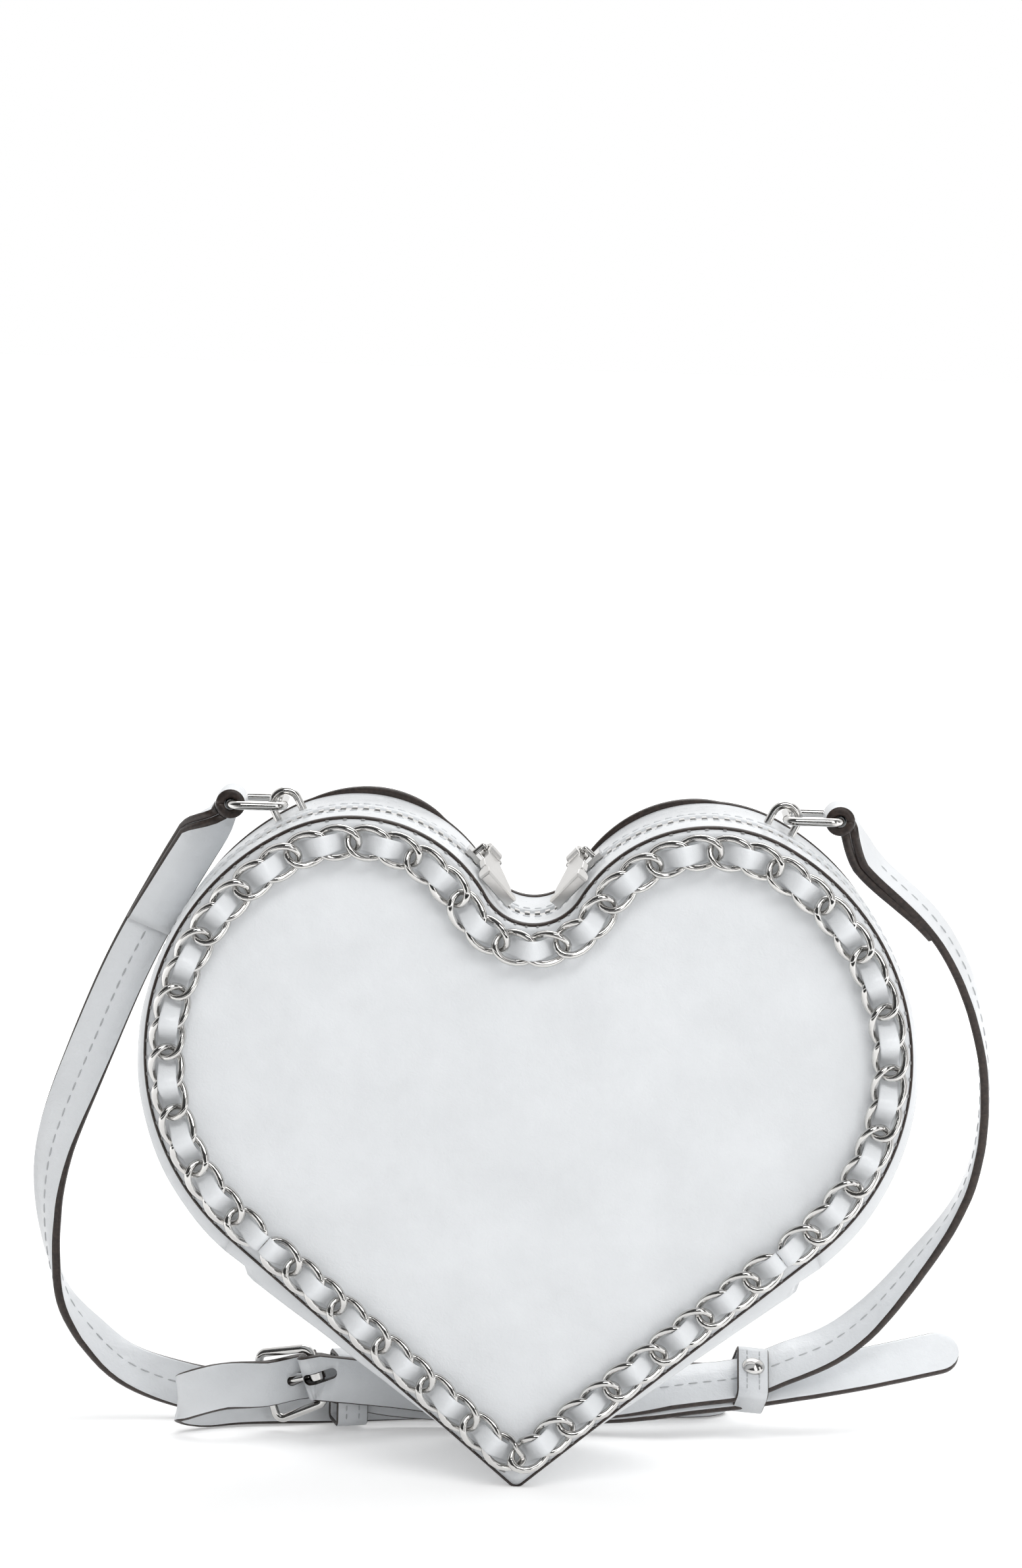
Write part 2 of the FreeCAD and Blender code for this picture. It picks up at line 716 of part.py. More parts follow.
def anchor_plate():
    """Plate behind the leather that holds the anchor's legs."""
    outer = LOBE_RADIUS + SWELL - LEATHER - LAYER_GAP
    sweep = math.degrees(PLATE_LENGTH / outer)
    start = ANCHOR_ANGLE - sweep / 2
    near = ANCHOR_BACK - PLATE_WIDTH / 2
    plate = sector(ZIP_CENTRE, outer - PLATE, outer, start, start + sweep, near, near + PLATE_WIDTH)
    return plate.cut(anchor())


def link_ring():
    """Rounded ring between an anchor and the strap."""
    half = (RING_WIDTH - RING_WIRE) / 2
    corners = [
        RING_BAR + V(0, -half, 0),
        STRAP_BAR + V(0, -half, 0),
        STRAP_BAR + V(0, half, 0),
        RING_BAR + V(0, half, 0),
    ]
    return tube_loop(corners, RING_CORNER, RING_WIRE)


# Strap, as a band through a table of stations: place as shares of the strap's reach, of the
# way from the ring to the farthest strand, of the way from the floor to the ring, then the
# direction of the band's width

STRAP_FLOOR = FLOOR_GAP + KEEPER + KEEPER_CLEARANCE + STRAP_WIDTH / 2
FOLD_INNER = RING_WIRE / 2 + FOLD_CLEARANCE
FOLD_OUTER = FOLD_INNER + STRAP
UP_shares = (0, 0, 1)
TIP_shares = (0.4, 0.7, 0.9, 0.98)


def station(shares):
    """Place and width direction of one row of a strap table."""
    across, back, rise, width = shares
    spot = V(
        across * STRAP_REACH,
        ANCHOR_BACK + back * (STRAP_BACK - ANCHOR_BACK),
        STRAP_FLOOR + rise * (STRAP_BAR.z - STRAP_FLOOR),
    )
    return spot, V(*width)


def strap_curve(rows):
    """Smooth line through the places of a strap's rows, and its parameter at each."""
    spots = [row[0] for row in rows]
    curve = Part.BSplineCurve()
    curve.interpolate(spots)
    return curve, [curve.parameter(spot) for spot in spots]


def strand(rows, across):
    """Place and level heading of a strap's last run at one place across the bag."""
    curve, knots = strap_curve(rows)
    for index in range(len(rows) - 1):
        ends = sorted([rows[index][0].x, rows[index + 1][0].x])
        if ends[0] <= across <= ends[1]:
            last = index
    low, high = knots[last], knots[last + 1]
    rightward = rows[last + 1][0].x > rows[last][0].x
    for _ in range(SEARCH_STEPS):
        middle = (low + high) / 2
        if (curve.value(middle).x < across) == rightward:
            low = middle
        else:
            high = middle
    heading = V(*curve.tangent(low)[0])
    heading.z = 0
    return curve.value(low), (heading if rightward else -heading).normalize()


def strap_band(rows, tip_shares=()):
    """Flat band through places, each with its width direction, and a rounded tip if asked."""
    curve, knots = strap_curve(rows)
    sections = []
    for step in range((len(rows) - 1) * BAND_STEPS + 1):
        index = min(step // BAND_STEPS, len(rows) - 2)
        share = step / BAND_STEPS - index
        at = knots[index] + (knots[index + 1] - knots[index]) * share
        heading = V(*curve.tangent(at)[0])
        width = rows[index][1] * (1 - share) + rows[index + 1][1] * share
        width = (width - heading * width.dot(heading)).normalize()
        face = heading.cross(width)
        sections.append(band_section(curve.value(at), width, face))
    for share in tip_shares:
        ahead = rows[-1][0] + heading * (STRAP_WIDTH / 2 * share)
        sections.append(band_section(ahead, width * math.sqrt(1 - share ** 2), face))
    return outward(Part.makeLoft(sections, True, True))


def band_section(spot, width, face):
    """Rectangle across a band."""
    side = width * (STRAP_WIDTH / 2)
    skin = face * (STRAP / 2)
    corners = [spot - side - skin, spot + side - skin, spot + side + skin, spot - side + skin]
    return Part.makePolygon(corners + corners[:1])


def fold_ring(centre, axis):
    """End of a strap folded around a bar."""
    start = centre - axis * (STRAP_WIDTH / 2)
    return Part.makeCylinder(FOLD_OUTER, STRAP_WIDTH, start, axis)


def fold_bore(centre, axis):
    """Room for the bar inside a fold."""
    reach = axis * (STRAP_WIDTH / 2 + OVERRUN)
    return round_bar(centre - reach, centre + reach, FOLD_INNER)


LONG_DROP_shares = [
    (-0.715, 0.097, 0.942, (-0.75, -0.4, 0.5)),
    (-0.79, 0.188, 0.84, (-0.8, -0.3, 0.5)),
    (-0.873, 0.287, 0.716, (-0.88, -0.15, 0.42)),
    (-0.938, 0.368, 0.598, (-0.93, 0, 0.36)),
    (-0.994, 0.422, 0.488, (-0.9, 0.3, 0.25)),
    (-1.036, 0.468, 0.385, (-0.75, 0.6, 0.1)),
    (-1.046, 0.5, 0.283, (-0.5, 0.85, 0)),
    (-1.032, 0.513, 0.195, (-0.2, 0.97, 0)),
    (-1.001, 0.513, 0.129, (0.1, 0.98, 0.1)),
    (-0.952, 0.504, 0.084, (0.3, 0.88, 0.3)),
    (-0.883, 0.486, 0.038, (0.3, 0.75, 0.55)),
    (-0.77, 0.46, 0.006, (0.15, 0.5, 0.85)),
    (-0.655, 0.45, -0.009, (0, 0.2, 0.98)),
    (-0.53, 0.47, -0.01, UP_shares),
]
LONG_FLOOR_shares = [
    (-0.25, 0.594, -0.010, UP_shares),
    (0.10, 0.747, -0.010, UP_shares),
    (0.35, 0.859, -0.010, UP_shares),
    (0.425, 0.868, -0.010, UP_shares),
    (0.457, 0.788, -0.010, UP_shares),
    (0.425, 0.705, -0.010, UP_shares),
    (0.35, 0.665, -0.010, UP_shares),
    (0.10, 0.565, -0.010, UP_shares),
    (-0.25, 0.469, -0.010, UP_shares),
    (-0.40, 0.420, -0.010, UP_shares),
    (-0.53, 0.360, -0.010, UP_shares),
    (-0.64, 0.290, -0.010, UP_shares),
    (-0.712, 0.184, -0.004, UP_shares),
    (-0.732, 0.128, 0.006, UP_shares),
    (-0.712, 0.079, 0.018, UP_shares),
    (-0.640, 0.090, 0.032, UP_shares),
]
TAIL_shares = [
    (-0.357, 0.306, 0.02, UP_shares),
    (-0.27, 0.326, 0.007, UP_shares),
    (-0.14, 0.355, 0.001, UP_shares),
    (0.04, 0.4087, 0, UP_shares),
    (0.2, 0.483, 0, UP_shares),
    (0.35, 0.5527, 0, UP_shares),
    (0.5, 0.6223, 0, UP_shares),
    (0.56, 0.6502, 0, UP_shares),
    (0.62, 0.678, 0.004, (0, 0.2, 0.98)),
    (0.7, 0.708, 0.022, (0, 0.45, 0.9)),
    (0.8, 0.745, 0.045, (0, 0.55, 0.84)),
    (0.95, 0.8, 0.075, (0, 0.6, 0.8)),
]
SHORT_DROP_shares = [
    (0.709, 0.097, 0.94, (0.3, 0.93, 0.1)),
    (0.841, 0.21, 0.842, (0.3, 0.93, 0.15)),
    (0.947, 0.325, 0.717, (0.25, 0.96, 0.1)),
    (0.995, 0.43, 0.57, (0.08, 1, 0.05)),
    (0.998, 0.5, 0.456, (0.03, 1, 0)),
    (0.964, 0.545, 0.346, (-0.03, 1, 0.03)),
    (0.871, 0.57, 0.242, (-0.2, 0.95, 0.25)),
    (0.752, 0.59, 0.144, (-0.25, 0.85, 0.45)),
    (0.675, 0.602, 0.066, (-0.15, 0.7, 0.7)),
    (0.615, 0.6, 0.016, (0, 0.35, 0.94)),
    (0.56, 0.5839, 0, UP_shares),
    (0.5, 0.556, 0, UP_shares),
    (0.35, 0.4864, 0, UP_shares),
    (0.2, 0.4167, 0, UP_shares),
    (0.08, 0.362, 0, UP_shares),
    (-0.06, 0.312, 0.004, UP_shares),
    (-0.2, 0.285, 0.02, UP_shares),
    (-0.32, 0.197, 0.036, UP_shares),
]


# Buckle, seen from its back: the short strap folds around its middle bar and the long strap
# passes behind that fold and in front of the end bar

UP = V(0, 0, 1)
BACKWARD = V(0, 1, 0)
TILT = math.radians(BUCKLE_TILT)
ROLL = math.radians(BUCKLE_ROLL)
BAR_UP = V(-math.sin(ROLL), 0, math.cos(ROLL))
FLAT_HEADING = V(-math.cos(ROLL), 0, -math.sin(ROLL))
BUCKLE_HEADING = FLAT_HEADING * math.cos(TILT) + BACKWARD * math.sin(TILT)
BAR_DISTANCE = BUCKLE_LENGTH - BUCKLE_WIRE
END_HALF = (BUCKLE_END_WIDTH - BUCKLE_WIRE) / 2
END_HEIGHT = FLOOR_GAP + BUCKLE_LIFT + BUCKLE_WIRE / 2 + END_HALF * BAR_UP.z
MIDDLE_BAR = V(
    -BUCKLE_SHARE * STRAP_REACH,
    station(SHORT_DROP_shares[-1])[0].y - BUCKLE_FORWARD,
    END_HEIGHT - BAR_DISTANCE * BUCKLE_HEADING.z,
)
END_BAR = MIDDLE_BAR + BUCKLE_HEADING * BAR_DISTANCE
TONGUE_TILT = TILT + math.asin((BUCKLE_WIRE / 2 + TONGUE / 2 + LAYER_GAP) / BAR_DISTANCE)
TONGUE_HEADING = FLAT_HEADING * math.cos(TONGUE_TILT) + BACKWARD * math.sin(TONGUE_TILT)
TONGUE_END = MIDDLE_BAR + TONGUE_HEADING * BUCKLE_LENGTH


def buckle_frame():
    """Rounded frame with its middle bar at the narrower end."""
    half = BAR_UP * ((BUCKLE_WIDTH - BUCKLE_WIRE) / 2)
    far = BAR_UP * END_HALF
    corners = [MIDDLE_BAR - half, END_BAR - far, END_BAR + far, MIDDLE_BAR + half]
    return tube_loop(corners, BUCKLE_CORNER, BUCKLE_WIRE)


def buckle_tongue():
    """Tongue with an eye around the middle bar."""
    eye = BUCKLE_WIRE / 2 + EYE_CLEARANCE + TONGUE / 2
    foot = MIDDLE_BAR - BAR_UP * (TONGUE / 2)
    body = Part.makeCylinder(eye, TONGUE, foot, BAR_UP)
    body = body.fuse(round_bar(MIDDLE_BAR, TONGUE_END, TONGUE / 2))
    reach = BAR_UP * OVERRUN
    return body.cut(round_bar(MIDDLE_BAR - reach, MIDDLE_BAR + reach, BUCKLE_WIRE / 2 + EYE_CLEARANCE))


def tongue_room():
    """Space the tongue needs in the straps over its whole swing."""
    tall = TONGUE + FOLD_CLEARANCE * 2
    eye = BUCKLE_WIRE / 2 + EYE_CLEARANCE + TONGUE / 2 + FOLD_CLEARANCE
    room = Part.makeCylinder(eye, tall, MIDDLE_BAR - BAR_UP * (tall / 2), BAR_UP)
    reach = BUCKLE_LENGTH + OVERRUN
    for share in (0, 0.5, 1):
        slot = block(reach, tall, tall)
        slot.translate(V(reach / 2, 0, 0))
        slot = framed(slot, MIDDLE_BAR, TONGUE_HEADING, BAR_UP.cross(TONGUE_HEADING), BAR_UP)
        slot.rotate(MIDDLE_BAR, BAR_UP, -TONGUE_SWING * share)
        room = room.fuse(slot)
    return room


def long_rows():
    """Rows of the long strap from the left ring to its tip."""
    start = V(-STRAP_BAR.x - FOLD_INNER - STRAP / 2, STRAP_BAR.y, STRAP_BAR.z)
    front = END_BAR - BACKWARD * (BUCKLE_WIRE / 2 + BUCKLE_SLACK + STRAP / 2)
    behind = MIDDLE_BAR + BACKWARD * (FOLD_OUTER + BUCKLE_SLACK + STRAP / 2)
    rows = [(start, -BACKWARD)]
    rows += [station(row) for row in LONG_DROP_shares + LONG_FLOOR_shares]
    rows += [(front + UP * BUCKLE_RIDE, UP), (behind - UP * BUCKLE_RIDE, UP)]
    return rows + [station(row) for row in TAIL_shares]


def short_rows():
    """Rows of the short strap from the right ring to the buckle's middle bar."""
    rows = [(STRAP_BAR + V(FOLD_INNER + STRAP / 2, 0, 0), BACKWARD)]
    rows += [station(row) for row in SHORT_DROP_shares]
    return rows + [(MIDDLE_BAR - BACKWARD * (FOLD_INNER + STRAP / 2), BAR_UP)]


def strap_long():
    """Long strap from the left ring, along the floor, through the buckle to its tip."""
    end = V(-STRAP_BAR.x, STRAP_BAR.y, STRAP_BAR.z)
    shape = strap_band(long_rows(), TIP_shares).fuse(fold_ring(end, BACKWARD))
    return shape.cut([fold_bore(end, BACKWARD), tongue_room()])


def strap_short():
    """Short strap from the right ring, along the floor, to the fold in the buckle."""
    folds = [fold_ring(STRAP_BAR, BACKWARD), fold_ring(MIDDLE_BAR, BAR_UP)]
    bores = [fold_bore(STRAP_BAR, BACKWARD), fold_bore(MIDDLE_BAR, BAR_UP), tongue_room()]
    return strap_band(short_rows()).fuse(folds).cut(bores)


def keeper(middle, heading, deep, tall):
    """Leather loop with a clear opening of one depth and height."""
    outer = block(KEEPER_WIDTH, deep + KEEPER * 2, tall + KEEPER * 2)
    inner = block(KEEPER_WIDTH + OVERRUN, deep, tall)
    return framed(outer.cut(inner), middle, heading, UP.cross(heading), UP)


def fixed_keeper():
    """Loop on the short strap's back, around the long strap's tail."""
    spot, heading = strand(short_rows(), -FIXED_SHARE * STRAP_REACH)
    tail = strand(long_rows(), -FIXED_SHARE * STRAP_REACH)[0]
    across = UP.cross(heading)
    near = STRAP / 2 + FIXED_SEAT + KEEPER
    far = (tail - spot).dot(across) + STRAP / 2 + FIXED_ROOM
    middle = spot + across * ((near + far) / 2)
    middle.z = tail.z
    return keeper(middle, heading, far - near, STRAP_WIDTH + FIXED_ROOM * 2)


def keeper_spots():
    """Places of both straps in the sliding keeper, and the short one's heading."""
    spot, heading = strand(short_rows(), KEEPER_SHARE * STRAP_REACH)
    return spot, strand(long_rows(), KEEPER_SHARE * STRAP_REACH)[0], heading


def sliding_keeper():
    """Loop around both straps."""
    spot, tail, heading = keeper_spots()
    across = UP.cross(heading)
    reach = (tail - spot).dot(across)
    deep = reach + STRAP + KEEPER_CLEARANCE * 2
    return keeper(spot + across * (reach / 2), heading, deep, STRAP_WIDTH + KEEPER_CLEARANCE * 2)


def keeper_stud():
    """Domed stud on the front of the sliding keeper."""
    spot, _, heading = keeper_spots()
    across = UP.cross(heading)
    stud = Part.makeCylinder(STUD_RADIUS, STUD_HEIGHT)
    rim = [item for item in stud.Edges if item.BoundBox.ZMin > STUD_HEIGHT / 2]
    stud = stud.makeFillet(STUD_HEIGHT * ROUND_SHARE, rim)
    foot = spot - across * (STRAP / 2 + KEEPER_CLEARANCE + KEEPER)
    return framed(stud, foot, heading, UP, -across)


def pocket(back):
    """Open topped slip pocket on the back lining."""
    outer = block(POCKET_WIDTH, POCKET_DEPTH, POCKET_HEIGHT)
    inner = block(POCKET_WIDTH - LINING * 2, POCKET_DEPTH - LINING * 2, POCKET_HEIGHT)
    inner.translate(V(0, 0, LINING))
    shape = outer.cut(inner)
    shape.translate(V(0, back - POCKET_DEPTH / 2, POCKET_BASE + POCKET_HEIGHT / 2))
    return shape


# Assembly

BOARD_DEPTH = DEPTH / 2 - LEATHER - LAYER_GAP
LINING_DEPTH = BOARD_DEPTH - BOARD - LAYER_GAP
POCKET_BACK = LINING_DEPTH - LINING - LAYER_GAP
FOLD_TOP = FOLD_HEIGHT + FOLD_GAP / 2
FOLD_BOTTOM = FOLD_HEIGHT - FOLD_GAP / 2

front_panel = heart_sheet(0, FRONT, LEATHER)
front_board = heart_sheet(-SEAM_MARGIN, -BOARD_DEPTH, BOARD)
front_lining = heart_sheet(-SEAM_MARGIN, -LINING_DEPTH, LINING)
holes = anchor_holes()
(flap_links, flap_ribbon), (base_links, base_ribbon) = trim_runs()

nodes = {
    "front_panel": above(front_panel, FOLD_TOP),
    "front_board": above(front_board, FOLD_TOP),
    "front_lining": above(front_lining, FOLD_TOP),
    "front_zip_strip": zip_strip(-SEAM),
    "front_zip_tape": zip_tape(-1),
    "front_zip_teeth": zip_teeth(-1, 0),
    "chain_flap": flap_links,
    "ribbon_flap": flap_ribbon,
    "front_panel_base": below(front_panel, FOLD_BOTTOM),
    "front_board_base": below(front_board, FOLD_BOTTOM),
    "front_lining_base": below(front_lining, FOLD_BOTTOM),
    "chain_base": base_links,
    "ribbon_base": base_ribbon,
    "back_panel": heart_sheet(0, DEPTH / 2 - LEATHER, LEATHER),
    "back_board": heart_sheet(-SEAM_MARGIN, BOARD_DEPTH - BOARD, BOARD),
    "back_lining": heart_sheet(-SEAM_MARGIN, LINING_DEPTH - LINING, LINING),
    "slip_pocket": pocket(POCKET_BACK),
    "bottom_gusset": pointed_gusset(),
    "rear_zip_strip": zip_strip(SEAM).cut(holes + [mirrored(hole) for hole in holes]),
    "rear_zip_tape": zip_tape(1),
    "rear_zip_teeth": zip_teeth(1, 0.5),
    "zip_stops": zip_stops(),
    "strap_long": strap_long(),
    "strap_short": strap_short(),
    "buckle_frame": buckle_frame(),
    "buckle_tongue": buckle_tongue(),
    "fixed_keeper": fixed_keeper(),
    "sliding_keeper": sliding_keeper(),
    "keeper_stud": keeper_stud(),
}
for name, shape in {
    "slider": slider(),
    "pull": pull(),
    "anchor": anchor(),
    "anchor_plate": anchor_plate(),
    "link_ring": link_ring(),
}.items():
    nodes["right_" + name] = shape
    nodes["left_" + name] = mirrored(shape)

# The origin is the floor point under the middle of the whole box
box = FreeCAD.BoundBox()
for shape in nodes.values():
    box.add(shape.optimalBoundingBox(False))
SHIFT = V(-(box.XMin + box.XMax) / 2, -(box.YMin + box.YMax) / 2, -box.ZMin)

os.makedirs(PART_FOLDER, exist_ok=True)
for name, shape in nodes.items():
    placed = shape.copy()
    placed.translate(SHIFT)
    placed.exportStep(PART_FOLDER + "/" + name + ".step")
    print(name, placed.isValid(), round(placed.Volume), len(placed.Solids))

for label, spot in {
    "shift": SHIFT,
    "size": V(box.XLength, box.YLength, box.ZLength),
    "fold": V(0, TRIM_DEPTH - RIBBON_RISE, FOLD_HEIGHT) + SHIFT,
    "zip_centre": V(ZIP_CENTRE[0], 0, ZIP_CENTRE[1]) + SHIFT,
    "bail": BAIL_SPOT + SHIFT,
    "pull_axis": PULL_AXIS,
    "pull_heading": PULL_HEADING,
    "slider_normal": SLIDER_NORMAL,
    "ring_bar": RING_BAR + SHIFT,
    "strap_bar": STRAP_BAR + SHIFT,
    "middle_bar": MIDDLE_BAR + SHIFT,
    "end_bar": END_BAR + SHIFT,
    "bar_up": BAR_UP,
    "keeper": keeper_spots()[0] + SHIFT,
    "keeper_heading": keeper_spots()[2],
}.items():
    print("POINT", label, [round(value, 3) for value in (spot.x, spot.y, spot.z)])
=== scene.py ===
"""Looks of the heart shaped purse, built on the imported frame."""
import functools
import json
import math

import bmesh
import bpy
import numpy as np
from mathutils import Matrix, Vector, noise


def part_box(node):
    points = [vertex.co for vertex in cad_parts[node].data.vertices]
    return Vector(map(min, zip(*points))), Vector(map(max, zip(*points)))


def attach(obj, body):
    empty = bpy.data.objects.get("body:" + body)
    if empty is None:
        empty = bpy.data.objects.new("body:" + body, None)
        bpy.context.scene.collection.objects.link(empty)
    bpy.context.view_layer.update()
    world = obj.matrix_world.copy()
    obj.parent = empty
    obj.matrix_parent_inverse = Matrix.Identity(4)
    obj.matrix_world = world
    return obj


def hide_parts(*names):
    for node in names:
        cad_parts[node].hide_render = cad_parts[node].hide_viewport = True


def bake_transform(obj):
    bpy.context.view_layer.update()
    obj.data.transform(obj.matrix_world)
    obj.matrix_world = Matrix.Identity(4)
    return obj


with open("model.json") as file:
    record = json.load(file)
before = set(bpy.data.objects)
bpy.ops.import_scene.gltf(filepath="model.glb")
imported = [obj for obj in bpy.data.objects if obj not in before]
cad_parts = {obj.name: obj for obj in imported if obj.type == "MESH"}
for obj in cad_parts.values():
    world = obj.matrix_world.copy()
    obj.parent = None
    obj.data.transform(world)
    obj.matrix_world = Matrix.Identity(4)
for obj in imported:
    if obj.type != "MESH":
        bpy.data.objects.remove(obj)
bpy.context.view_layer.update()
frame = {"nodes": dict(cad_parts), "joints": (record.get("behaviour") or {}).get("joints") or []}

bl_info = {
    "name": "Heart Purse",
    "version": (1, 0, 0),
    "blender": (4, 5, 0),
    "location": "View3D > Sidebar > Purse",
    "description": "Builds the leather, zip, chain, strap and stage of a heart shaped purse",
    "category": "Object",
}


def length(name, default, description):
    """A size in metres for the sidebar."""
    return bpy.props.FloatProperty(
        name=name, description=description, default=default, unit="LENGTH", precision=5)


def degrees(name, default, description):
    """An angle for the sidebar, in radians inside."""
    return bpy.props.FloatProperty(
        name=name, description=description, default=math.radians(default), subtype="ANGLE")


def pigment(name, default, description):
    """A colour for the sidebar."""
    return bpy.props.FloatVectorProperty(
        name=name, description=description, default=default, subtype="COLOR", size=3)


class PurseSizes(bpy.types.PropertyGroup):
    """Sizes of the bag and its zip, most of them the same as in the solids."""

    leg_angle: degrees("Leg angle", 40.3, "Slope of the straight edges beside the point")
    leg_length: length("Leg length", 0.104, "From the sharp point to the side's arc")
    side_radius: length("Side radius", 0.0676, "Radius of the side's arc")
    side_end: degrees("Side end", 62.0, "Angle at which the side becomes the lobe")
    lobe_radius: length("Lobe radius", 0.040985, "Radius of the lobe's arc")
    cleft_radius: length("Cleft radius", 0.0146, "Radius of the hollow between the lobes")
    point_radius: length("Point radius", 0.0026, "Rounding of the lower point")
    depth: length("Depth", 0.05, "From the front panel to the back panel")
    leather: length("Leather", 0.0016, "Thickness of the leather")
    swell: length("Swell", 0.0034, "How far the gusset bulges past the panels")
    cap_rise: length("Cap rise", 0.0012, "How far the lower gusset stands proud of the strips")
    cap_top: length("Cap top", 0.054, "Height at which the proud stretch starts")
    strip_sink: length("Strip sink", 0.0008, "How far the strips lie below the zip's teeth")
    flat_half: length("Flat half", 0.017, "Half width of the gusset's flat stretch")
    zip_opening: length("Zip opening", 0.009, "Between the two strips along the zip")
    tape: length("Tape", 0.0007, "Thickness of the zip tape")
    left_rise: length("Left rise", 0.0016, "Of the back edge on top of the left lobe")
    right_rise: length("Right rise", 0.0012, "Of the back edge inside the right lobe")
    eye_radius: length("Eye radius", 0.0021, "Outside of the zip pull's eye")
    eye_hole: length("Eye hole", 0.00105, "Hole radius of the zip pull's eye")
    eye_width: length("Eye width", 0.0046, "Along the bail in the zip pull's eye")
    pull_length: length("Pull length", 0.0212, "From the zip pull's eye to its end")
    pull_width: length("Pull width", 0.0118, "Across the zip pull's plate")
    pull_plate: length("Pull plate", 0.0017, "Thickness of the zip pull's plate")
    pull_end: length("Pull end", 0.0034, "Thickness of the zip pull's end bar")
    pull_dip: degrees("Pull dip", 10.0, "How far the pull hangs below the solid's rest")


class TrimSizes(bpy.types.PropertyGroup):
    """Sizes of the woven chain."""

    inset: length("Inset", 0.0062, "From the panel's edge to the middle of the chain")
    point_radius: length("Point radius", 0.006, "Rounding of the chain at the point")
    pitch: length("Pitch", 0.0083, "Length of one link along the trim")
    wire: length("Wire", 0.002, "Thickness of the link's wire")
    link_width: length("Link width", 0.0101, "Width of a link")
    slack: length("Slack", 0.0002, "Play between two links")
    twist: length("Twist", 0.0013, "Rise of the link's twisted wire")
    fold_gap: length("Fold gap", 0.0003, "Gap at the fold of the front")
    ribbon_width: length("Ribbon width", 0.0053, "Width of the woven ribbon")
    ribbon: length("Ribbon", 0.0009, "Thickness of the ribbon")
    clearance: length("Ribbon clearance", 0.00012, "Between ribbon and links")


class StrapSizes(bpy.types.PropertyGroup):
    """Sizes of the strap and its keepers."""

    width: length("Width", 0.013, "Width of the strap")
    thickness: length("Thickness", 0.0026, "Thickness of the strap")
    reach: length("Reach", 0.129, "Farthest point of the strap from the middle")
    back: length("Back", 0.068, "Farthest strand behind the zip")
    floor: length("Floor", 0.00855, "Height of the strap's middle line on the floor")
    floor_gap: length("Floor gap", 0.0003, "Air under the lowest leather")
    fold_clearance: length("Fold clearance", 0.00035, "Between a fold and the bar in it")
    buckle_wire: length("Buckle wire", 0.0024, "Thickness of the buckle's wire")
    buckle_length: length("Buckle length", 0.0174, "Over both bars of the buckle")
    buckle_end_width: length("Buckle end width", 0.0226, "Along the end bar")
    buckle_lift: length("Buckle lift", 0.0012, "Of the buckle's lowest corner")
    buckle_forward: length("Buckle forward", 0.0013, "Of the middle bar from the short strap's run")
    buckle_slack: length("Buckle slack", 0.0014, "Room of the long strap at both bars")
    buckle_ride: length("Buckle ride", 0.002, "Of the long strap towards the height between both bars")
    buckle_tilt: degrees("Buckle tilt", 10.0, "Turn of the buckle about its middle bar")
    buckle_roll: degrees("Buckle roll", 18.0, "Lean of the buckle's bars")
    keeper: length("Keeper", 0.0014, "Thickness of the keepers")
    keeper_width: length("Keeper width", 0.009, "Width of the keepers")
    keeper_clearance: length("Keeper clearance", 0.00035, "Between the sliding keeper and the straps")
    fixed_seat: length("Fixed seat", 0.00045, "From the short strap to the fixed keeper")
    fixed_room: length("Fixed room", 0.0025, "Around the tail in the fixed keeper")


class LookSettings(bpy.types.PropertyGroup):
    """Colours of the purse."""

    leather: pigment("Leather", (0.80, 0.82, 0.84), "White of the leather")
    edge: pigment("Edge paint", (0.022, 0.014, 0.011), "Dark paint on cut edges")
    metal: pigment("Metal", (0.66, 0.65, 0.635), "Polished metal")
    lining: pigment("Lining", (0.42, 0.37, 0.31), "Cloth inside")
    backdrop: pigment("Backdrop", (1.0, 1.0, 1.0), "Floor and background")


@functools.lru_cache(maxsize=None)
def shift():
    """From the bag's own middle to the shared frame."""
    low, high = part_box("back_panel")
    return Vector(((low[0] + high[0]) / 2, high[1] - bpy.context.scene.purse.depth / 2, low[2]))


def joint(name):
    """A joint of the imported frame."""
    return next(found for found in frame["joints"] if found["name"] == name)


# Outline of the heart, as in the solids


class Bend:
    """One arc of an outline."""

    def __init__(self, centre, radius, start, end, side=1):
        self.centre, self.radius, self.start, self.end, self.side = centre, radius, start, end, side
        self.length = radius * abs(end - start)

    def at(self, share):
        turn = self.start + (self.end - self.start) * share
        out = Vector((math.cos(turn), math.sin(turn)))
        return self.centre + out * self.radius, out * self.side


class Run:
    """One straight stretch of an outline."""

    def __init__(self, start, end):
        self.start, self.end = start, end
        self.length = (end - start).length

    def at(self, share):
        along = (self.end - self.start) / self.length
        return self.start.lerp(self.end, share), Vector((-along.y, along.x))


def upper_half(offset, drop):
    """Cleft, lobe and side arcs of the right half, moved outward and down."""
    s = bpy.context.scene.purse
    normal = Vector((math.sin(s.leg_angle), -math.cos(s.leg_angle)))
    rise = s.point_radius / math.cos(s.leg_angle) - s.point_radius
    low = Vector((0, -drop))
    side = Vector((math.cos(s.leg_angle), math.sin(s.leg_angle))) * s.leg_length - normal * s.side_radius
    side = side - Vector((0, rise))
    lobe = side + Vector((math.cos(s.side_end), math.sin(s.side_end))) * (s.side_radius - s.lobe_radius)
    cleft = Vector((0, lobe.y + math.sqrt((s.lobe_radius + s.cleft_radius) ** 2 - lobe.x ** 2)))
    turn = math.atan2(cleft.y - lobe.y, -lobe.x)
    return [
        Bend(cleft + low, s.cleft_radius - offset, -math.pi / 2, turn - math.pi, -1),
        Bend(lobe + low, s.lobe_radius + offset, turn, s.side_end),
        Bend(side + low, s.side_radius + offset, s.side_end, s.leg_angle - math.pi / 2),
    ]


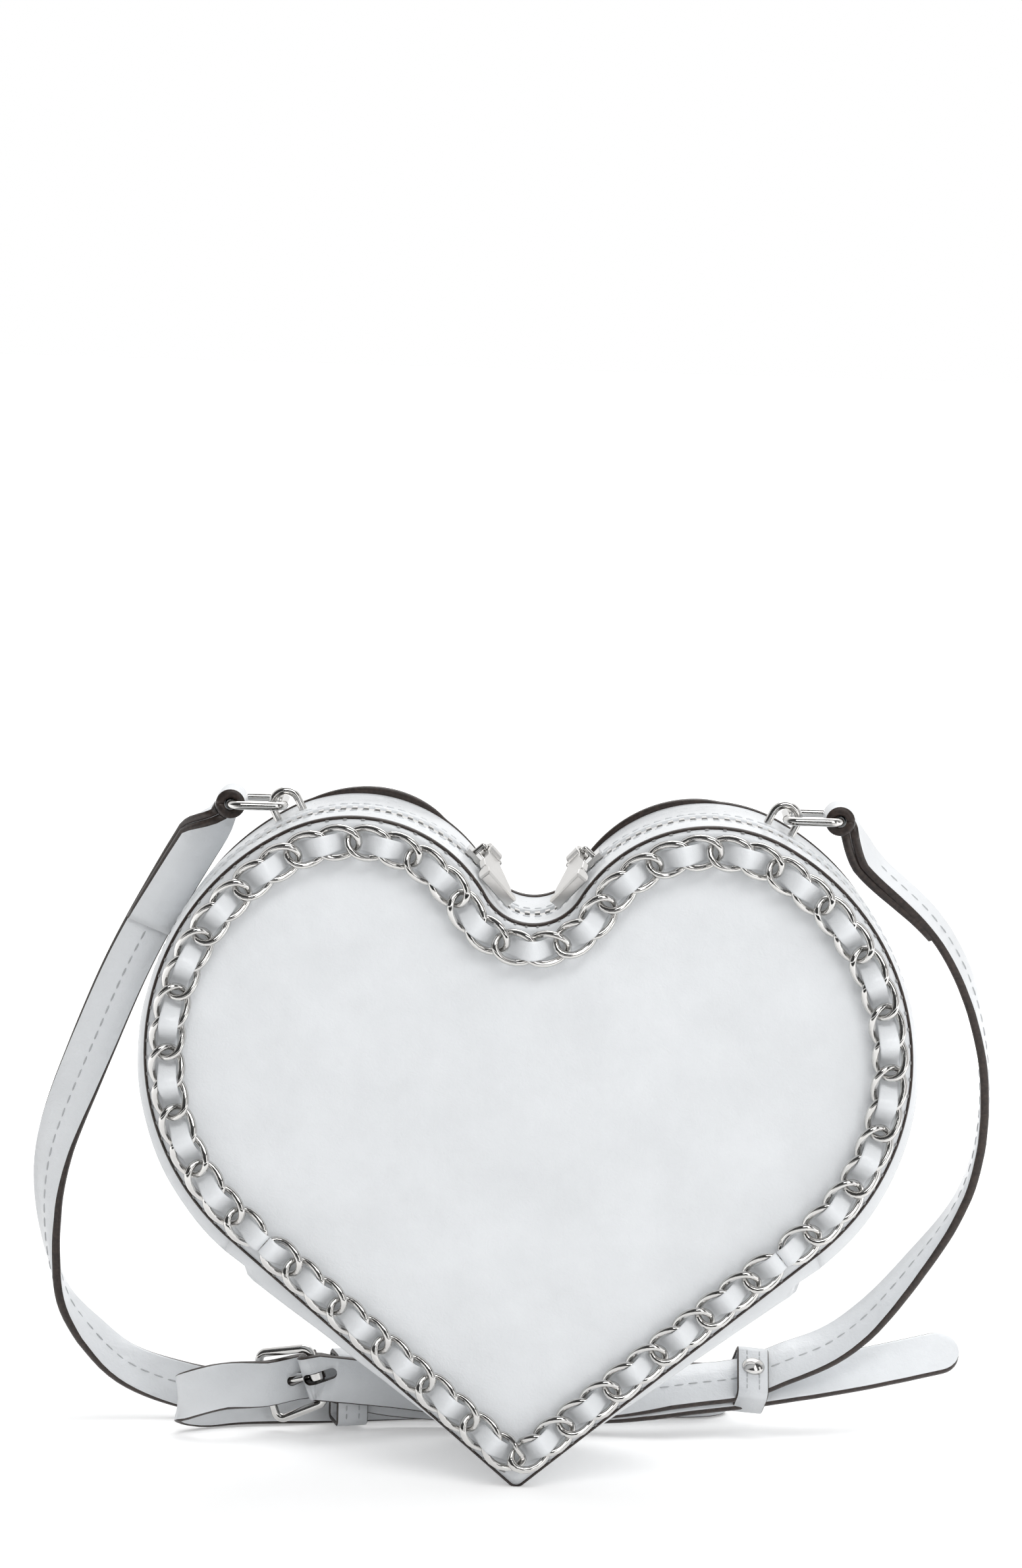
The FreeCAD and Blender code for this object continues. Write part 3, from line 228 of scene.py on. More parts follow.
def lower_half(start, radius, centre):
    """Leg and half of the rounded point, tangent to each other."""
    reach = start - centre
    touch = math.atan2(reach.y, reach.x) - math.acos(radius / reach.length)
    spot = centre + Vector((math.cos(touch), math.sin(touch))) * radius
    return [Run(start, spot), Bend(centre, radius, touch, -math.pi / 2)]


def whole_half(offset, point_radius):
    """Right half from the cleft to the point, moved outward."""
    s = bpy.context.scene.purse
    upper = upper_half(offset, 0)
    rise = s.point_radius / math.cos(s.leg_angle) - s.point_radius
    centre = Vector((0, (point_radius - offset) / math.cos(s.leg_angle) - rise))
    return upper + lower_half(upper[-1].at(1)[0], point_radius, centre)


def sampled(half, counts):
    """Points and normals along the right half."""
    row = []
    for piece, count in zip(half, counts):
        row += [piece.at(step / count) for step in range(count)]
    row.append(half[-1].at(1))
    return row


def mirrored(row):
    """The same points and normals on the left."""
    return [(Vector((-p.x, p.y)), Vector((-n.x, n.y))) for p, n in row]


UPPER_COUNTS = (14, 40, 46)
LOWER_COUNTS = (44, 8)


def upper_row(offset, drop):
    """The zipped stretch of the outline from the left leg to the right one."""
    right = sampled(upper_half(offset, drop), UPPER_COUNTS)
    return mirrored(reversed(right[1:])) + right


def lower_row(share, inset):
    """The pointed stretch of the outline from the left leg to the right one."""
    s = bpy.context.scene.purse
    start = upper_half((s.swell + s.cap_rise) * share - inset, s.swell * share)[-1].at(1)[0]
    half = lower_half(start, s.point_radius - inset, Vector((0, s.point_radius)))
    down = sampled(half, LOWER_COUNTS)
    return mirrored(down[:-1]) + list(reversed(down))


def heart_row(offset):
    """The whole closed outline, from the cleft round the right side and back."""
    s = bpy.context.scene.purse
    radius = max(s.point_radius + offset, s.point_radius / 2)
    right = sampled(whole_half(offset, radius), UPPER_COUNTS + LOWER_COUNTS)
    return right + mirrored(reversed(right[1:-1]))


# Mesh helpers


def new_piece(name, points, faces, materials, smooth=True, indices=None):
    """Mesh object from points and faces in the shared frame."""
    mesh = bpy.data.meshes.new(name)
    mesh.from_pydata([tuple(point) for point in points], [], faces)
    for surface in materials:
        mesh.materials.append(surface)
    if indices is not None:
        mesh.polygons.foreach_set("material_index", indices)
    if smooth:
        mesh.polygons.foreach_set("use_smooth", [True] * len(mesh.polygons))
    mesh.update()
    piece = bpy.data.objects.new(name, mesh)
    bpy.context.scene.collection.objects.link(piece)
    work = bmesh.new()
    work.from_mesh(mesh)
    bmesh.ops.recalc_face_normals(work, faces=work.faces)
    work.to_mesh(mesh)
    work.free()
    return piece


def grid_faces(rows, columns, wrap_rows=False, wrap_columns=False):
    """Quads of a grid of points, row by row."""
    faces = []
    for row in range(rows if wrap_rows else rows - 1):
        after = (row + 1) % rows
        for column in range(columns if wrap_columns else columns - 1):
            beside = (column + 1) % columns
            corners = ((row, column), (row, beside), (after, beside), (after, column))
            faces.append(tuple(line * columns + place for line, place in corners))
    return faces


def tube(name, rings, materials, closed=False, tags=None):
    """Closed sections joined into a skin; tags give each side of the section its material."""
    sides = len(rings[0])
    points = [point for ring in rings for point in ring]
    faces = grid_faces(len(rings), sides, wrap_rows=closed, wrap_columns=True)
    indices = [tags[index % sides] for index in range(len(faces))] if tags else [0] * len(faces)
    if not closed:
        faces.append(tuple(range(sides)))
        faces.append(tuple(range(len(points) - sides, len(points))))
        indices += [max(indices)] * 2
    return new_piece(name, points, faces, materials, indices=indices)


def sleeve(name, rows, surface, smooth=True):
    """Rows around a long section joined into a skin that is closed at both ends."""
    columns = len(rows[0])
    points = [point for row in rows for point in row]
    faces = grid_faces(len(rows), columns, wrap_rows=True)
    for end in (0, columns - 1):
        faces.append(tuple(row * columns + end for row in range(len(rows))))
    return new_piece(name, points, faces, [material(surface)], smooth=smooth)


def joined(name, parts):
    """Several pieces as one."""
    points, faces, indices, materials = [], [], [], list(parts[0].data.materials)
    for part in parts:
        start = len(points)
        points += [vertex.co.copy() for vertex in part.data.vertices]
        faces += [tuple(start + index for index in face.vertices) for face in part.data.polygons]
        indices += [face.material_index for face in part.data.polygons]
        bpy.data.objects.remove(part, do_unlink=True)
    return new_piece(name, points, faces, materials, indices=indices)


def wobble(point, scale, height):
    """Slow unevenness of worked leather."""
    return noise.noise(Vector(point) / scale) * height


STITCH_RINGS = ((0.0, 0.35), (0.2, 1.0), (0.8, 1.0), (1.0, 0.35))
STITCH_SIDES = 6


def capsules(name, spots, thickness, thread):
    """Short stitches, each from one point to another, as one piece."""
    points, faces = [], []
    for start, end, out in spots:
        along = (end - start).normalized()
        side = along.cross(out).normalized()
        base = len(points)
        for place, size in STITCH_RINGS:
            middle = start.lerp(end, place)
            for turn in range(STITCH_SIDES):
                angle = math.tau * turn / STITCH_SIDES
                spread = side * math.cos(angle) + out * math.sin(angle)
                points.append(middle + spread * thickness / 2 * size)
        for face in grid_faces(len(STITCH_RINGS), STITCH_SIDES, wrap_columns=True):
            faces.append(tuple(base + index for index in face))
        for first in (base, len(points) - STITCH_SIDES):
            faces.append(tuple(range(first, first + STITCH_SIDES)))
    return new_piece(name, points, faces, [material(thread)])


# Materials


def shader(name):
    """New node material with its main shader and output."""
    material = bpy.data.materials.new("purse_" + name)
    material.use_nodes = True
    nodes = material.node_tree.nodes
    main = nodes["Principled BSDF"]
    return material, nodes, material.node_tree.links, main


def bumped(nodes, links, main, sources):
    """Stacked bumps from (height socket, strength, distance)."""
    last = None
    for height, strength, distance in sources:
        bump = nodes.new("ShaderNodeBump")
        bump.inputs["Strength"].default_value = strength
        bump.inputs["Distance"].default_value = distance
        links.new(height, bump.inputs["Height"])
        if last:
            links.new(last, bump.inputs["Normal"])
        last = bump.outputs["Normal"]
    links.new(last, main.inputs["Normal"])


def noise_node(nodes, links, coordinate, scale, detail=4.0, roughness=0.55, distortion=0.0):
    """Noise over the object's own coordinates."""
    texture = nodes.new("ShaderNodeTexNoise")
    texture.inputs["Scale"].default_value = scale
    texture.inputs["Detail"].default_value = detail
    texture.inputs["Roughness"].default_value = roughness
    texture.inputs["Distortion"].default_value = distortion
    links.new(coordinate, texture.inputs["Vector"])
    return texture


def ramp_node(nodes, links, source, stops):
    """Colour ramp over a value."""
    ramp = nodes.new("ShaderNodeValToRGB")
    while len(ramp.color_ramp.elements) < len(stops):
        ramp.color_ramp.elements.new(0.5)
    for element, (position, colour) in zip(ramp.color_ramp.elements, stops):
        element.position = position
        element.color = tuple(colour) + (1.0,)
    links.new(source, ramp.inputs["Fac"])
    return ramp


def ramped(nodes, links, main, socket, texture, low, high):
    """Runs a texture through a ramp of two stops into one socket of the shader."""
    ramp = ramp_node(nodes, links, texture.outputs["Fac"], [low, high])
    links.new(ramp.outputs["Color"], main.inputs[socket])


def grey(level):
    """A grey as a colour."""
    return (level, level, level)


def shaded(colour, factor):
    """A colour made darker or lighter."""
    return tuple(min(1.0, channel * factor) for channel in colour)


def leather_material(name, crease, grain, gloss):
    """White glazed leather with fine creases and a little colour variation."""
    colour = bpy.context.scene.looks.leather
    material, nodes, links, main = shader(name)
    where = nodes.new("ShaderNodeTexCoord").outputs["Object"]
    cloud = noise_node(nodes, links, where, 60.0, 5.0)
    tints = (0.3, shaded(colour, 0.95)), (0.7, shaded(colour, 1.02))
    ramped(nodes, links, main, "Base Color", cloud, *tints)
    cells = nodes.new("ShaderNodeTexVoronoi")
    cells.feature = "DISTANCE_TO_EDGE"
    cells.inputs["Scale"].default_value = 520.0
    warp = noise_node(nodes, links, where, 210.0, 3.0)
    mix = nodes.new("ShaderNodeMix")
    mix.data_type = "VECTOR"
    mix.inputs["Factor"].default_value = 0.012
    links.new(where, mix.inputs["A"])
    links.new(warp.outputs["Color"], mix.inputs["B"])
    links.new(mix.outputs["Result"], cells.inputs["Vector"])
    crinkle = noise_node(nodes, links, where, 340.0, 6.0, 0.62, 0.6)
    wave = noise_node(nodes, links, where, 85.0, 2.0)
    bumped(nodes, links, main, [
        (wave.outputs["Fac"], crease, 0.0012),
        (crinkle.outputs["Fac"], crease, 0.0005),
        (cells.outputs["Distance"], grain, 0.0003),
    ])
    ramped(nodes, links, main, "Roughness", crinkle, (0.3, grey(gloss)), (0.75, grey(gloss + 0.16)))
    main.inputs["Coat Weight"].default_value = 0.25
    main.inputs["Coat Roughness"].default_value = 0.18
    main.inputs["Specular IOR Level"].default_value = 0.45
    return material


def edge_material():
    """Dark paint on the cut edges."""
    colour = bpy.context.scene.looks.edge
    material, nodes, links, main = shader("edge_paint")
    where = nodes.new("ShaderNodeTexCoord").outputs["Object"]
    speck = noise_node(nodes, links, where, 900.0, 3.0)
    tints = (0.35, shaded(colour, 0.7)), (0.75, shaded(colour, 2.2))
    ramped(nodes, links, main, "Base Color", speck, *tints)
    bumped(nodes, links, main, [(speck.outputs["Fac"], 0.25, 0.0002)])
    main.inputs["Roughness"].default_value = 0.42
    return material


def metal_material(name, roughness, tone):
    """Polished metal with faint handling marks."""
    colour = bpy.context.scene.looks.metal
    material, nodes, links, main = shader(name)
    where = nodes.new("ShaderNodeTexCoord").outputs["Object"]
    marks = noise_node(nodes, links, where, 420.0, 6.0, 0.7, 1.2)
    cloud = noise_node(nodes, links, where, 90.0, 2.0)
    # A tone above one is painted light, a lightened copy of the metal's colour
    tints = (0.3, shaded(colour, tone * 0.93)), (0.7, shaded(colour, tone))
    ramped(nodes, links, main, "Base Color", cloud, *tints)
    ramped(nodes, links, main, "Roughness", marks, (0.35, grey(roughness)), (0.8, grey(roughness + 0.12)))
    bumped(nodes, links, main, [(marks.outputs["Fac"], 0.03, 0.0002)])
    main.inputs["Metallic"].default_value = 1.0
    return material


def cloth_material(name, colour, scale):
    """Plain weave."""
    material, nodes, links, main = shader(name)
    where = nodes.new("ShaderNodeTexCoord").outputs["Object"]
    heights = []
    for direction in ("X", "Z"):
        wave = nodes.new("ShaderNodeTexWave")
        wave.bands_direction = direction
        wave.inputs["Scale"].default_value = scale
        wave.inputs["Distortion"].default_value = 0.6
        wave.inputs["Detail"].default_value = 1.0
        links.new(where, wave.inputs["Vector"])
        heights.append(wave.outputs["Fac"])
    cloud = noise_node(nodes, links, where, 130.0, 4.0)
    tints = (0.3, shaded(colour, 0.86)), (0.7, shaded(colour, 1.05))
    ramped(nodes, links, main, "Base Color", cloud, *tints)
    bumped(nodes, links, main, [(height, 0.35, 0.0003) for height in heights])
    main.inputs["Roughness"].default_value = 0.82
    main.inputs["Sheen Weight"].default_value = 0.25
    return material


def board_material():
    """Grey board between leather and lining."""
    material, nodes, links, main = shader("board")
    where = nodes.new("ShaderNodeTexCoord").outputs["Object"]
    fibre = noise_node(nodes, links, where, 260.0, 6.0, 0.7)
    ramped(nodes, links, main, "Base Color", fibre, (0.3, (0.20, 0.19, 0.17)), (0.7, (0.30, 0.28, 0.25)))
    bumped(nodes, links, main, [(fibre.outputs["Fac"], 0.3, 0.0003)])
    main.inputs["Roughness"].default_value = 0.9
    return material


# Crease, grain and gloss of each leather
LEATHERS = {
    "panel_leather": (0.22, 0.25, 0.30),
    "gusset_leather": (0.35, 0.3, 0.26),
    "strap_leather": (0.42, 0.3, 0.28),
    "ribbon_leather": (0.2, 0.25, 0.34),
}
# Roughness and tone of each metal; the higher tone of the zip and pull metal is painted light, lighter
# copies of the polished metal that offset the dark surroundings they mirror
METALS = {"polished_metal": (0.09, 1.0), "zip_metal": (0.32, 1.1), "pull_metal": (0.3, 1.1)}
# Colour, its shade and the fineness of each cloth or thread
CLOTHS = {
    "zip_cloth": ("leather", 0.94, 900.0),
    "lining_cloth": ("lining", 1.0, 700.0),
    "thread": ("leather", 0.97, 1500.0),
    "stitch": ("leather", 0.72, 1500.0),
}
# Grey of the sewing holes, painted shade inside the holes
HOLE_SHADE_GREY = 0.42


def material(name):
    """A material of the purse, made once."""
    found = bpy.data.materials.get("purse_" + name)
    if found:
        return found
    if name in LEATHERS:
        return leather_material(name, *LEATHERS[name])
    if name in METALS:
        return metal_material(name, *METALS[name])
    if name in CLOTHS:
        base, shade, fineness = CLOTHS[name]
        return cloth_material(name, shaded(getattr(bpy.context.scene.looks, base), shade), fineness)
    # The sewing holes' grey is painted shade
    if name == "hole":
        return cloth_material(name, grey(HOLE_SHADE_GREY), 1500.0)
    return edge_material() if name == "edge_paint" else board_material()


def soften(piece, bevel):
    """Small bevel on the sharp edges."""
    modifier = piece.modifiers.new("soft_edges", "BEVEL")
    modifier.width = bevel
    modifier.segments = 2
    modifier.limit_method = "ANGLE"
    modifier.angle_limit = math.radians(28)
    modifier.harden_normals = False


def dress(node, name, bevel=0.0):
    """A CAD node kept as it is, with a better material and softened edges."""
    piece = frame["nodes"][node]
    piece.data.materials.clear()
    piece.data.materials.append(material(name))
    if bevel:
        soften(piece, bevel)


def finish_piece(piece, body, slot, *nodes):
    """Rides a piece on its body and hides the solids it stands for."""
    if nodes:
        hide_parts(*nodes)
    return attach(piece, body)


def bend_piece(piece, slot, *nodes):
    """A piece at the fold of the front: hides the solids it stands for and bakes its transform into its
    points.
    """
    if nodes:
        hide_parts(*nodes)
    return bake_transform(piece)


def put(point, y):
    """A point of the flat outline at a depth, in the shared frame."""
    return Vector((point.x, y, point.y)) + shift()


# Leather body

SWELL_POWER = 2.2
SEAM_STEPS = (0.0, 0.0006, 0.0014, 0.0024, 0.0038)  # rows beside a panel's seam
SEAM_FADE = 0.004  # unevenness fades out over this distance from the seam
POINT_FADE = 0.02  # and over this height above the point
STRIP_WAVE = (0.014, 0.00022)  # scale and height of the unevenness
GUSSET_WAVE = (0.016, 0.0003)
CAP_STEP = 0.001  # height over which the proud stretch of the gusset starts


def swell_share(y):
    """How much of the full swell the gusset has at a depth."""
    s = bpy.context.scene.purse
    seam = s.depth / 2 - s.leather
    over = max(0.0, abs(y) - s.flat_half) / (seam - s.flat_half)
    return 1.0 - over ** SWELL_POWER


def strip_piece(name, way):
    """Leather strip along one side of the zip, rolled at the opening."""
    s = bpy.context.scene.purse
    seam = s.depth / 2 - s.leather
    edge = s.zip_opening / 2
    depths = [seam - step for step in SEAM_STEPS] + [s.flat_half - 0.001]
    depths += [s.flat_half - (s.flat_half - edge) * step / 6 for step in range(1, 6)]
    depths += [edge + 0.0007, edge + 0.0002]
    levels = [(depth, 0.0) for depth in depths]
    levels += [(edge, s.leather * share) for share in (0.25, 0.75)]
    levels += [(edge + 0.0002, s.leather), (edge + 0.0015, s.leather)]
    levels += [(depth, s.leather) for depth in (s.flat_half, seam - 0.0024, seam)]
    rings = []
    for depth, inset in levels:
        share = swell_share(depth)
        row = upper_row((s.swell - s.strip_sink) * share - inset, s.swell * share)
        ring = []
        for point, normal in row:
            spot = put(point, way * depth)
            lift = 0.0 if inset else wobble(spot, *STRIP_WAVE) * min(1.0, (seam - depth) / SEAM_FADE)
            ring.append(spot + Vector((normal.x, 0, normal.y)) * lift)
        rings.append(ring)
    return sleeve(name, rings, "gusset_leather")


def gusset_piece():
    """Leather around the point, with a folded upper edge that caps the zip's ends."""
    s = bpy.context.scene.purse
    seam = s.depth / 2 - s.leather
    half = [seam - step for step in SEAM_STEPS] + [s.flat_half - 0.001, 0.012, 0.008, 0.004]
    depths = [-depth for depth in half] + [0.0] + list(reversed(half))
    levels = [(depth, 0.0) for depth in depths]
    levels += [(depth, s.leather) for depth in (seam, s.flat_half, 0.0, -s.flat_half, -seam)]
    rings = []
    for depth, inset in levels:
        row = lower_row(swell_share(depth), inset)
        ring = []
        for point, normal in row:
            spot = put(point, depth)
            lift = 0.0 if inset else wobble(spot, *GUSSET_WAVE) * min(1.0, (seam - abs(depth)) / SEAM_FADE)
            lift *= min(1.0, point.y / POINT_FADE)
            over = min(1.0, max(0.0, (point.y - s.cap_top) / CAP_STEP))
            lift -= over * (s.cap_rise + s.strip_sink) * swell_share(depth)
            ring.append(spot + Vector((normal.x, 0, normal.y)) * lift)
        rings.append(ring)
    return sleeve("bottom_gusset_leather", rings, "gusset_leather")


RING_SHARES = (0.12, 0.25, 0.4, 0.55, 0.68, 0.8, 0.88, 0.94, 0.975, 1.0)


def panel_skin(name, offset, near, thickness, crown, surface, height):
    """Flat heart with a slightly cushioned face, from a middle point outward."""
    s = bpy.context.scene.purse
    row = heart_row(offset)
    middle = Vector((0, s.leg_length))
    count = len(row)
    way = -1 if near < 0 else 1
    points, faces = [], []
    for face, base in ((0, near), (1, near - way * thickness)):
        points.append(put(middle, base + way * (crown if not face else 0)))
        for share in RING_SHARES:
            for point, _ in row:
                flat = middle.lerp(point, share)
                spot = put(flat, base)
                if not face:
                    rise = crown * (1 - share ** 6)
                    rise += wobble(spot, 0.03, height) * (1 - share ** 8)
                    spot.y += way * rise
                points.append(spot)
    per_face = 1 + count * len(RING_SHARES)
    for face in range(2):
        start = face * per_face
        for column in range(count):
            faces.append((start, start + 1 + column, start + 1 + (column + 1) % count))
        for quad in grid_faces(len(RING_SHARES), count, wrap_columns=True):
            faces.append(tuple(start + 1 + index for index in quad))
    outer = [1 + count * (len(RING_SHARES) - 1) + column for column in range(count)]
    for column in range(count):
        after = (column + 1) % count
        faces.append((outer[column], outer[after], outer[after] + per_face, outer[column] + per_face))
    return new_piece(name, points, faces, [material(surface)])


def swelling(share):
    """Smooth rise and fall over a stretch from 0 to 1."""
    return math.sin(math.pi * share) ** 0.7 if 0 < share < 1 else 0.0


LEFT_START, LEFT_REACH, LEFT_LEAN = -0.34, 0.9, 1.4
RIGHT_START = -0.05


def edge_rise(point, normal):
    """How far the back edge stands over the strip, on the lobes and beside the hollow."""
    s = bpy.context.scene.purse
    if normal.y <= 0 or abs(point.x) < s.cleft_radius:
        return 0.0
    inward = -normal.x * math.copysign(1.0, point.x)
    if point.x < 0:
        return s.left_rise * swelling((max(0.0, inward - LEFT_START) / LEFT_REACH) ** LEFT_LEAN)
    return s.right_rise * swelling(inward - RIGHT_START)


def edge_ring(name, near, thickness, rise=None):
    """Painted cut edge around a panel."""
    row = heart_row(0.0)
    way = -1 if near < 0 else 1
    profile = [(-0.0005, 0.00008), (-0.0002, 0.00014), (0.0001, 0.00006), (0.00028, -0.0003)]
    profile += [(0.00028, -thickness + 0.0002), (0.0001, -thickness), (-0.0004, -thickness)]
    profile += [(-0.0005, -thickness / 2)]
    rings = []
    for point, normal in row:
        ring = []
        proud = rise(point, normal) if rise else 0.0
        for out, up in profile:
            flat = point + normal * (out + (proud if out > 0 else 0.0))
            flat.y = max(flat.y, 0.00002)
            ring.append(put(flat, near + way * up))
        rings.append(ring)
    return tube(name, rings, [material("edge_paint")], closed=True)


EDGE_INSET = 0.0005  # from the outline to the skin inside the painted edge
PANEL_CROWN = 0.00005
PANEL_WAVE = 0.00012
BACK_EDGE_SHARE = 1.5  # of the leather's thickness


class PURSE_OT_body(bpy.types.Operator):
    """Leather panels and gusset"""

    bl_idname = "purse.body"
    bl_label = "Build Leather Body"

    def execute(self, context):
        s = context.scene.purse
        front = -s.depth / 2
        slot = "white_leather"
        cushion = (s.leather, PANEL_CROWN, "panel_leather", PANEL_WAVE)
        skin = panel_skin("front_panel_leather", -EDGE_INSET, front, *cushion)
        bend_piece(skin, slot, "front_panel", "front_panel_base")
        bend_piece(edge_ring("front_panel_edge", front, s.leather), slot)
        skin = panel_skin("back_panel_leather", -EDGE_INSET, -front, *cushion)
        finish_piece(skin, "bag_body", slot, "back_panel")
        edge = edge_ring("back_panel_edge", -front, s.leather * BACK_EDGE_SHARE, edge_rise)
        finish_piece(edge, "bag_body", slot)
        finish_piece(strip_piece("front_strip_leather", -1), "front_flap", slot, "front_zip_strip")
        finish_piece(strip_piece("rear_strip_leather", 1), "bag_body", slot, "rear_zip_strip")
        finish_piece(gusset_piece(), "bag_body", slot, "bottom_gusset")
        return {"FINISHED"}


# Zip

TAPE_GAP = 0.0001  # air between a strip and its tape


def tape_piece(name, way):
    """Woven tape under one strip."""
    s = bpy.context.scene.purse
    outer = s.swell - s.leather - TAPE_GAP
    inner = outer - s.tape
    low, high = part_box("front_zip_tape" if way < 0 else "rear_zip_tape")
    middle = shift().y
    near, far = sorted((abs(low[1] - middle), abs(high[1] - middle)))
    levels = [(near, outer), (far, outer), (far, inner), (near, inner)]
    rings = []
    for depth, offset in levels:
        rings.append([put(point, way * depth) for point, _ in upper_row(offset, s.swell)])
    return sleeve(name, rings, "zip_cloth", smooth=False)


def along_half(half, distance):
    """Place and normal at a distance from the middle, negative to the left."""
    side = -1 if distance < 0 else 1
    left = abs(distance)
    for piece in half:
        if left <= piece.length or piece is half[-1]:
            break
        left -= piece.length
    point, normal = piece.at(left / piece.length)
    return Vector((side * point.x, point.y)), Vector((side * normal.x, normal.y))


def total(half):
    """Length of an outline's half."""
    return sum(piece.length for piece in half)


ZIP_STITCH_INSET = 0.0022  # from the strip's edge at the zip
ZIP_STITCH_END = 0.003  # from the strip's end to the last stitch
ZIP_STITCH_PITCH = 0.0032
ZIP_THREAD = 0.00055
STITCH_SHARES = (0.18, 0.82)  # of the pitch, from a stitch's start to its end


def strip_stitches(name, way):
    """Row of stitches along a strip, beside the zip."""
    s = bpy.context.scene.purse
    depth = s.zip_opening / 2 + ZIP_STITCH_INSET
    share = swell_share(depth)
    half = upper_half((s.swell - s.strip_sink) * share, s.swell * share)
    count = int((total(half) - ZIP_STITCH_END) / ZIP_STITCH_PITCH)
    spots = []
    for index in range(-count, count):
        ends = []
        for place in STITCH_SHARES:
            point, normal = along_half(half, (index + place) * ZIP_STITCH_PITCH)
            ends.append(put(point, way * depth))
        out = Vector((normal.x, 0, normal.y))
        spots.append((ends[0], ends[1], out))
    return capsules(name, spots, ZIP_THREAD, "thread")


# Sections of the zip pull: share of its length, of its width, and of the plate's or end bar's thickness
PULL_SECTIONS = [
    (0.06, 0.4, "plate", 1.0), (0.2, 0.42, "plate", 1.0), (0.58, 1.0, "plate", 1.0),
    (0.75, 1.0, "plate", 1.0), (0.755, 0.97, "plate", 0.5), (0.79, 0.97, "plate", 0.5),
    (0.795, 1.0, "plate", 1.0), (0.85, 1.0, "end", 1.0), (0.96, 1.0, "end", 1.0),
    (1.0, 0.94, "end", 0.7),
]


EYE_STEPS = 32
FINE_BEVEL = 0.00015
TEETH_BEVEL = 0.0003
SLIDER_BEVEL = 0.00045


def pull_piece(side):
    """Zip pull: an eye on the bail, a plate that widens, a groove and a thick bevelled end."""
    s = bpy.context.scene.purse
    swing = joint(side + "_pull_swing")
    eye, axis = Vector(swing["pos_m"]), Vector(swing["axis"]).normalized()
    low, high = (Vector(corner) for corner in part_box(side + "_pull"))
    heading = (low + high) / 2 - eye
    heading = (heading - axis * heading.dot(axis)).normalized()
    heading = Matrix.Rotation(-s.pull_dip, 3, axis) @ heading
    up = axis.cross(heading)
    metal = [material("pull_metal")]
    rings = []
    for along, across, part, share in PULL_SECTIONS:
        middle = eye + heading * (along * s.pull_length)
        half = across * s.pull_width / 2
        thick = (s.pull_plate if part == "plate" else s.pull_end) * share / 2
        corners = ((-half, -thick), (half, -thick), (half, thick), (-half, thick))
        rings.append([middle + axis * wide + up * rise for wide, rise in corners])
    plate = tube("pull_plate", rings, metal)
    half = s.eye_width / 2
    corners = ((s.eye_hole, -half), (s.eye_radius, -half), (s.eye_radius, half), (s.eye_hole, half))
    rings = []
    for step in range(EYE_STEPS):
        angle = math.tau * step / EYE_STEPS
        out = heading * math.cos(angle) + up * math.sin(angle)
        rings.append([eye + out * radius + axis * wide for radius, wide in corners])
    piece = joined(side + "_pull_metal", [plate, tube("pull_eye", rings, metal, closed=True)])
    piece.data.shade_flat()
    soften(piece, FINE_BEVEL)
    return piece


class PURSE_OT_zip(bpy.types.Operator):
    """Zip tapes, teeth, sliders, pulls and the stitching beside them"""

    bl_idname = "purse.zip"
    bl_label = "Build Zip"

    def execute(self, context):
        strips = (("front", -1, "front_flap"), ("rear", 1, "bag_body"))
        for strip, way, body in strips:
            finish_piece(tape_piece(strip + "_tape_cloth", way), body, "zip_tape", strip + "_zip_tape")
        for strip, way, body in strips:
            finish_piece(strip_stitches(strip + "_zip_stitches", way), body, "white_leather")
        for node in ("front_zip_teeth", "rear_zip_teeth", "zip_stops"):
            dress(node, "zip_metal", TEETH_BEVEL)
        for side in ("left", "right"):
            dress(side + "_slider", "polished_metal", SLIDER_BEVEL)
            finish_piece(pull_piece(side), side + "_pull_body", "polished_metal", side + "_pull")
        return {"FINISHED"}


# Woven chain


def trim_half():
    """Path of the chain on the front panel."""
    t = bpy.context.scene.trim
    return whole_half(-t.inset, t.point_radius)


def trim_at(half, distance):
    """Place and normal at a distance along the closed trim."""
    around = total(half)
    return along_half(half, distance - around * 2 if distance > around else distance)


def weave_rise():
    """How far the ribbon rises over a joint of the chain."""
    t = bpy.context.scene.trim
    return t.twist + t.wire / 2 + t.ribbon / 2 + t.clearance


TRIM_GAP = 0.0001  # air between the ribbon and the panel


def trim_spot(half, distance, across, lift):
    """Point at a distance along the trim, moved outward and towards the viewer."""
    s, t = bpy.context.scene.purse, bpy.context.scene.trim
    point, normal = trim_at(half, distance)
    level = -s.depth / 2 - weave_rise() - t.ribbon / 2 - TRIM_GAP
    return put(point + normal * across, level - lift)


def trim_spans(half):
    """Start, end and pitch of the links above and below the fold."""
    t = bpy.context.scene.trim
    fold = joint("flap_open")["pos_m"][2] - shift().z
    low, high = 0.0, total(half)
    for _ in range(40):
        middle = (low + high) / 2
        if along_half(half, middle)[0].y > fold:
            low = middle
        else:
            high = middle
    over = t.wire + (t.slack + t.fold_gap) / 2
    spans = []
    for start, end in ((over - low, low - over), (low + over, total(half) * 2 - low - over)):
        count = round((end - start) / t.pitch / 2) * 2
        spans.append((start, end, count, (end - start) / count))
    return spans


LINK_STEPS = 26
WIRE_SIDES = 9
LINK_OVERLAP = 1.4  # wires by which a link is longer than its pitch


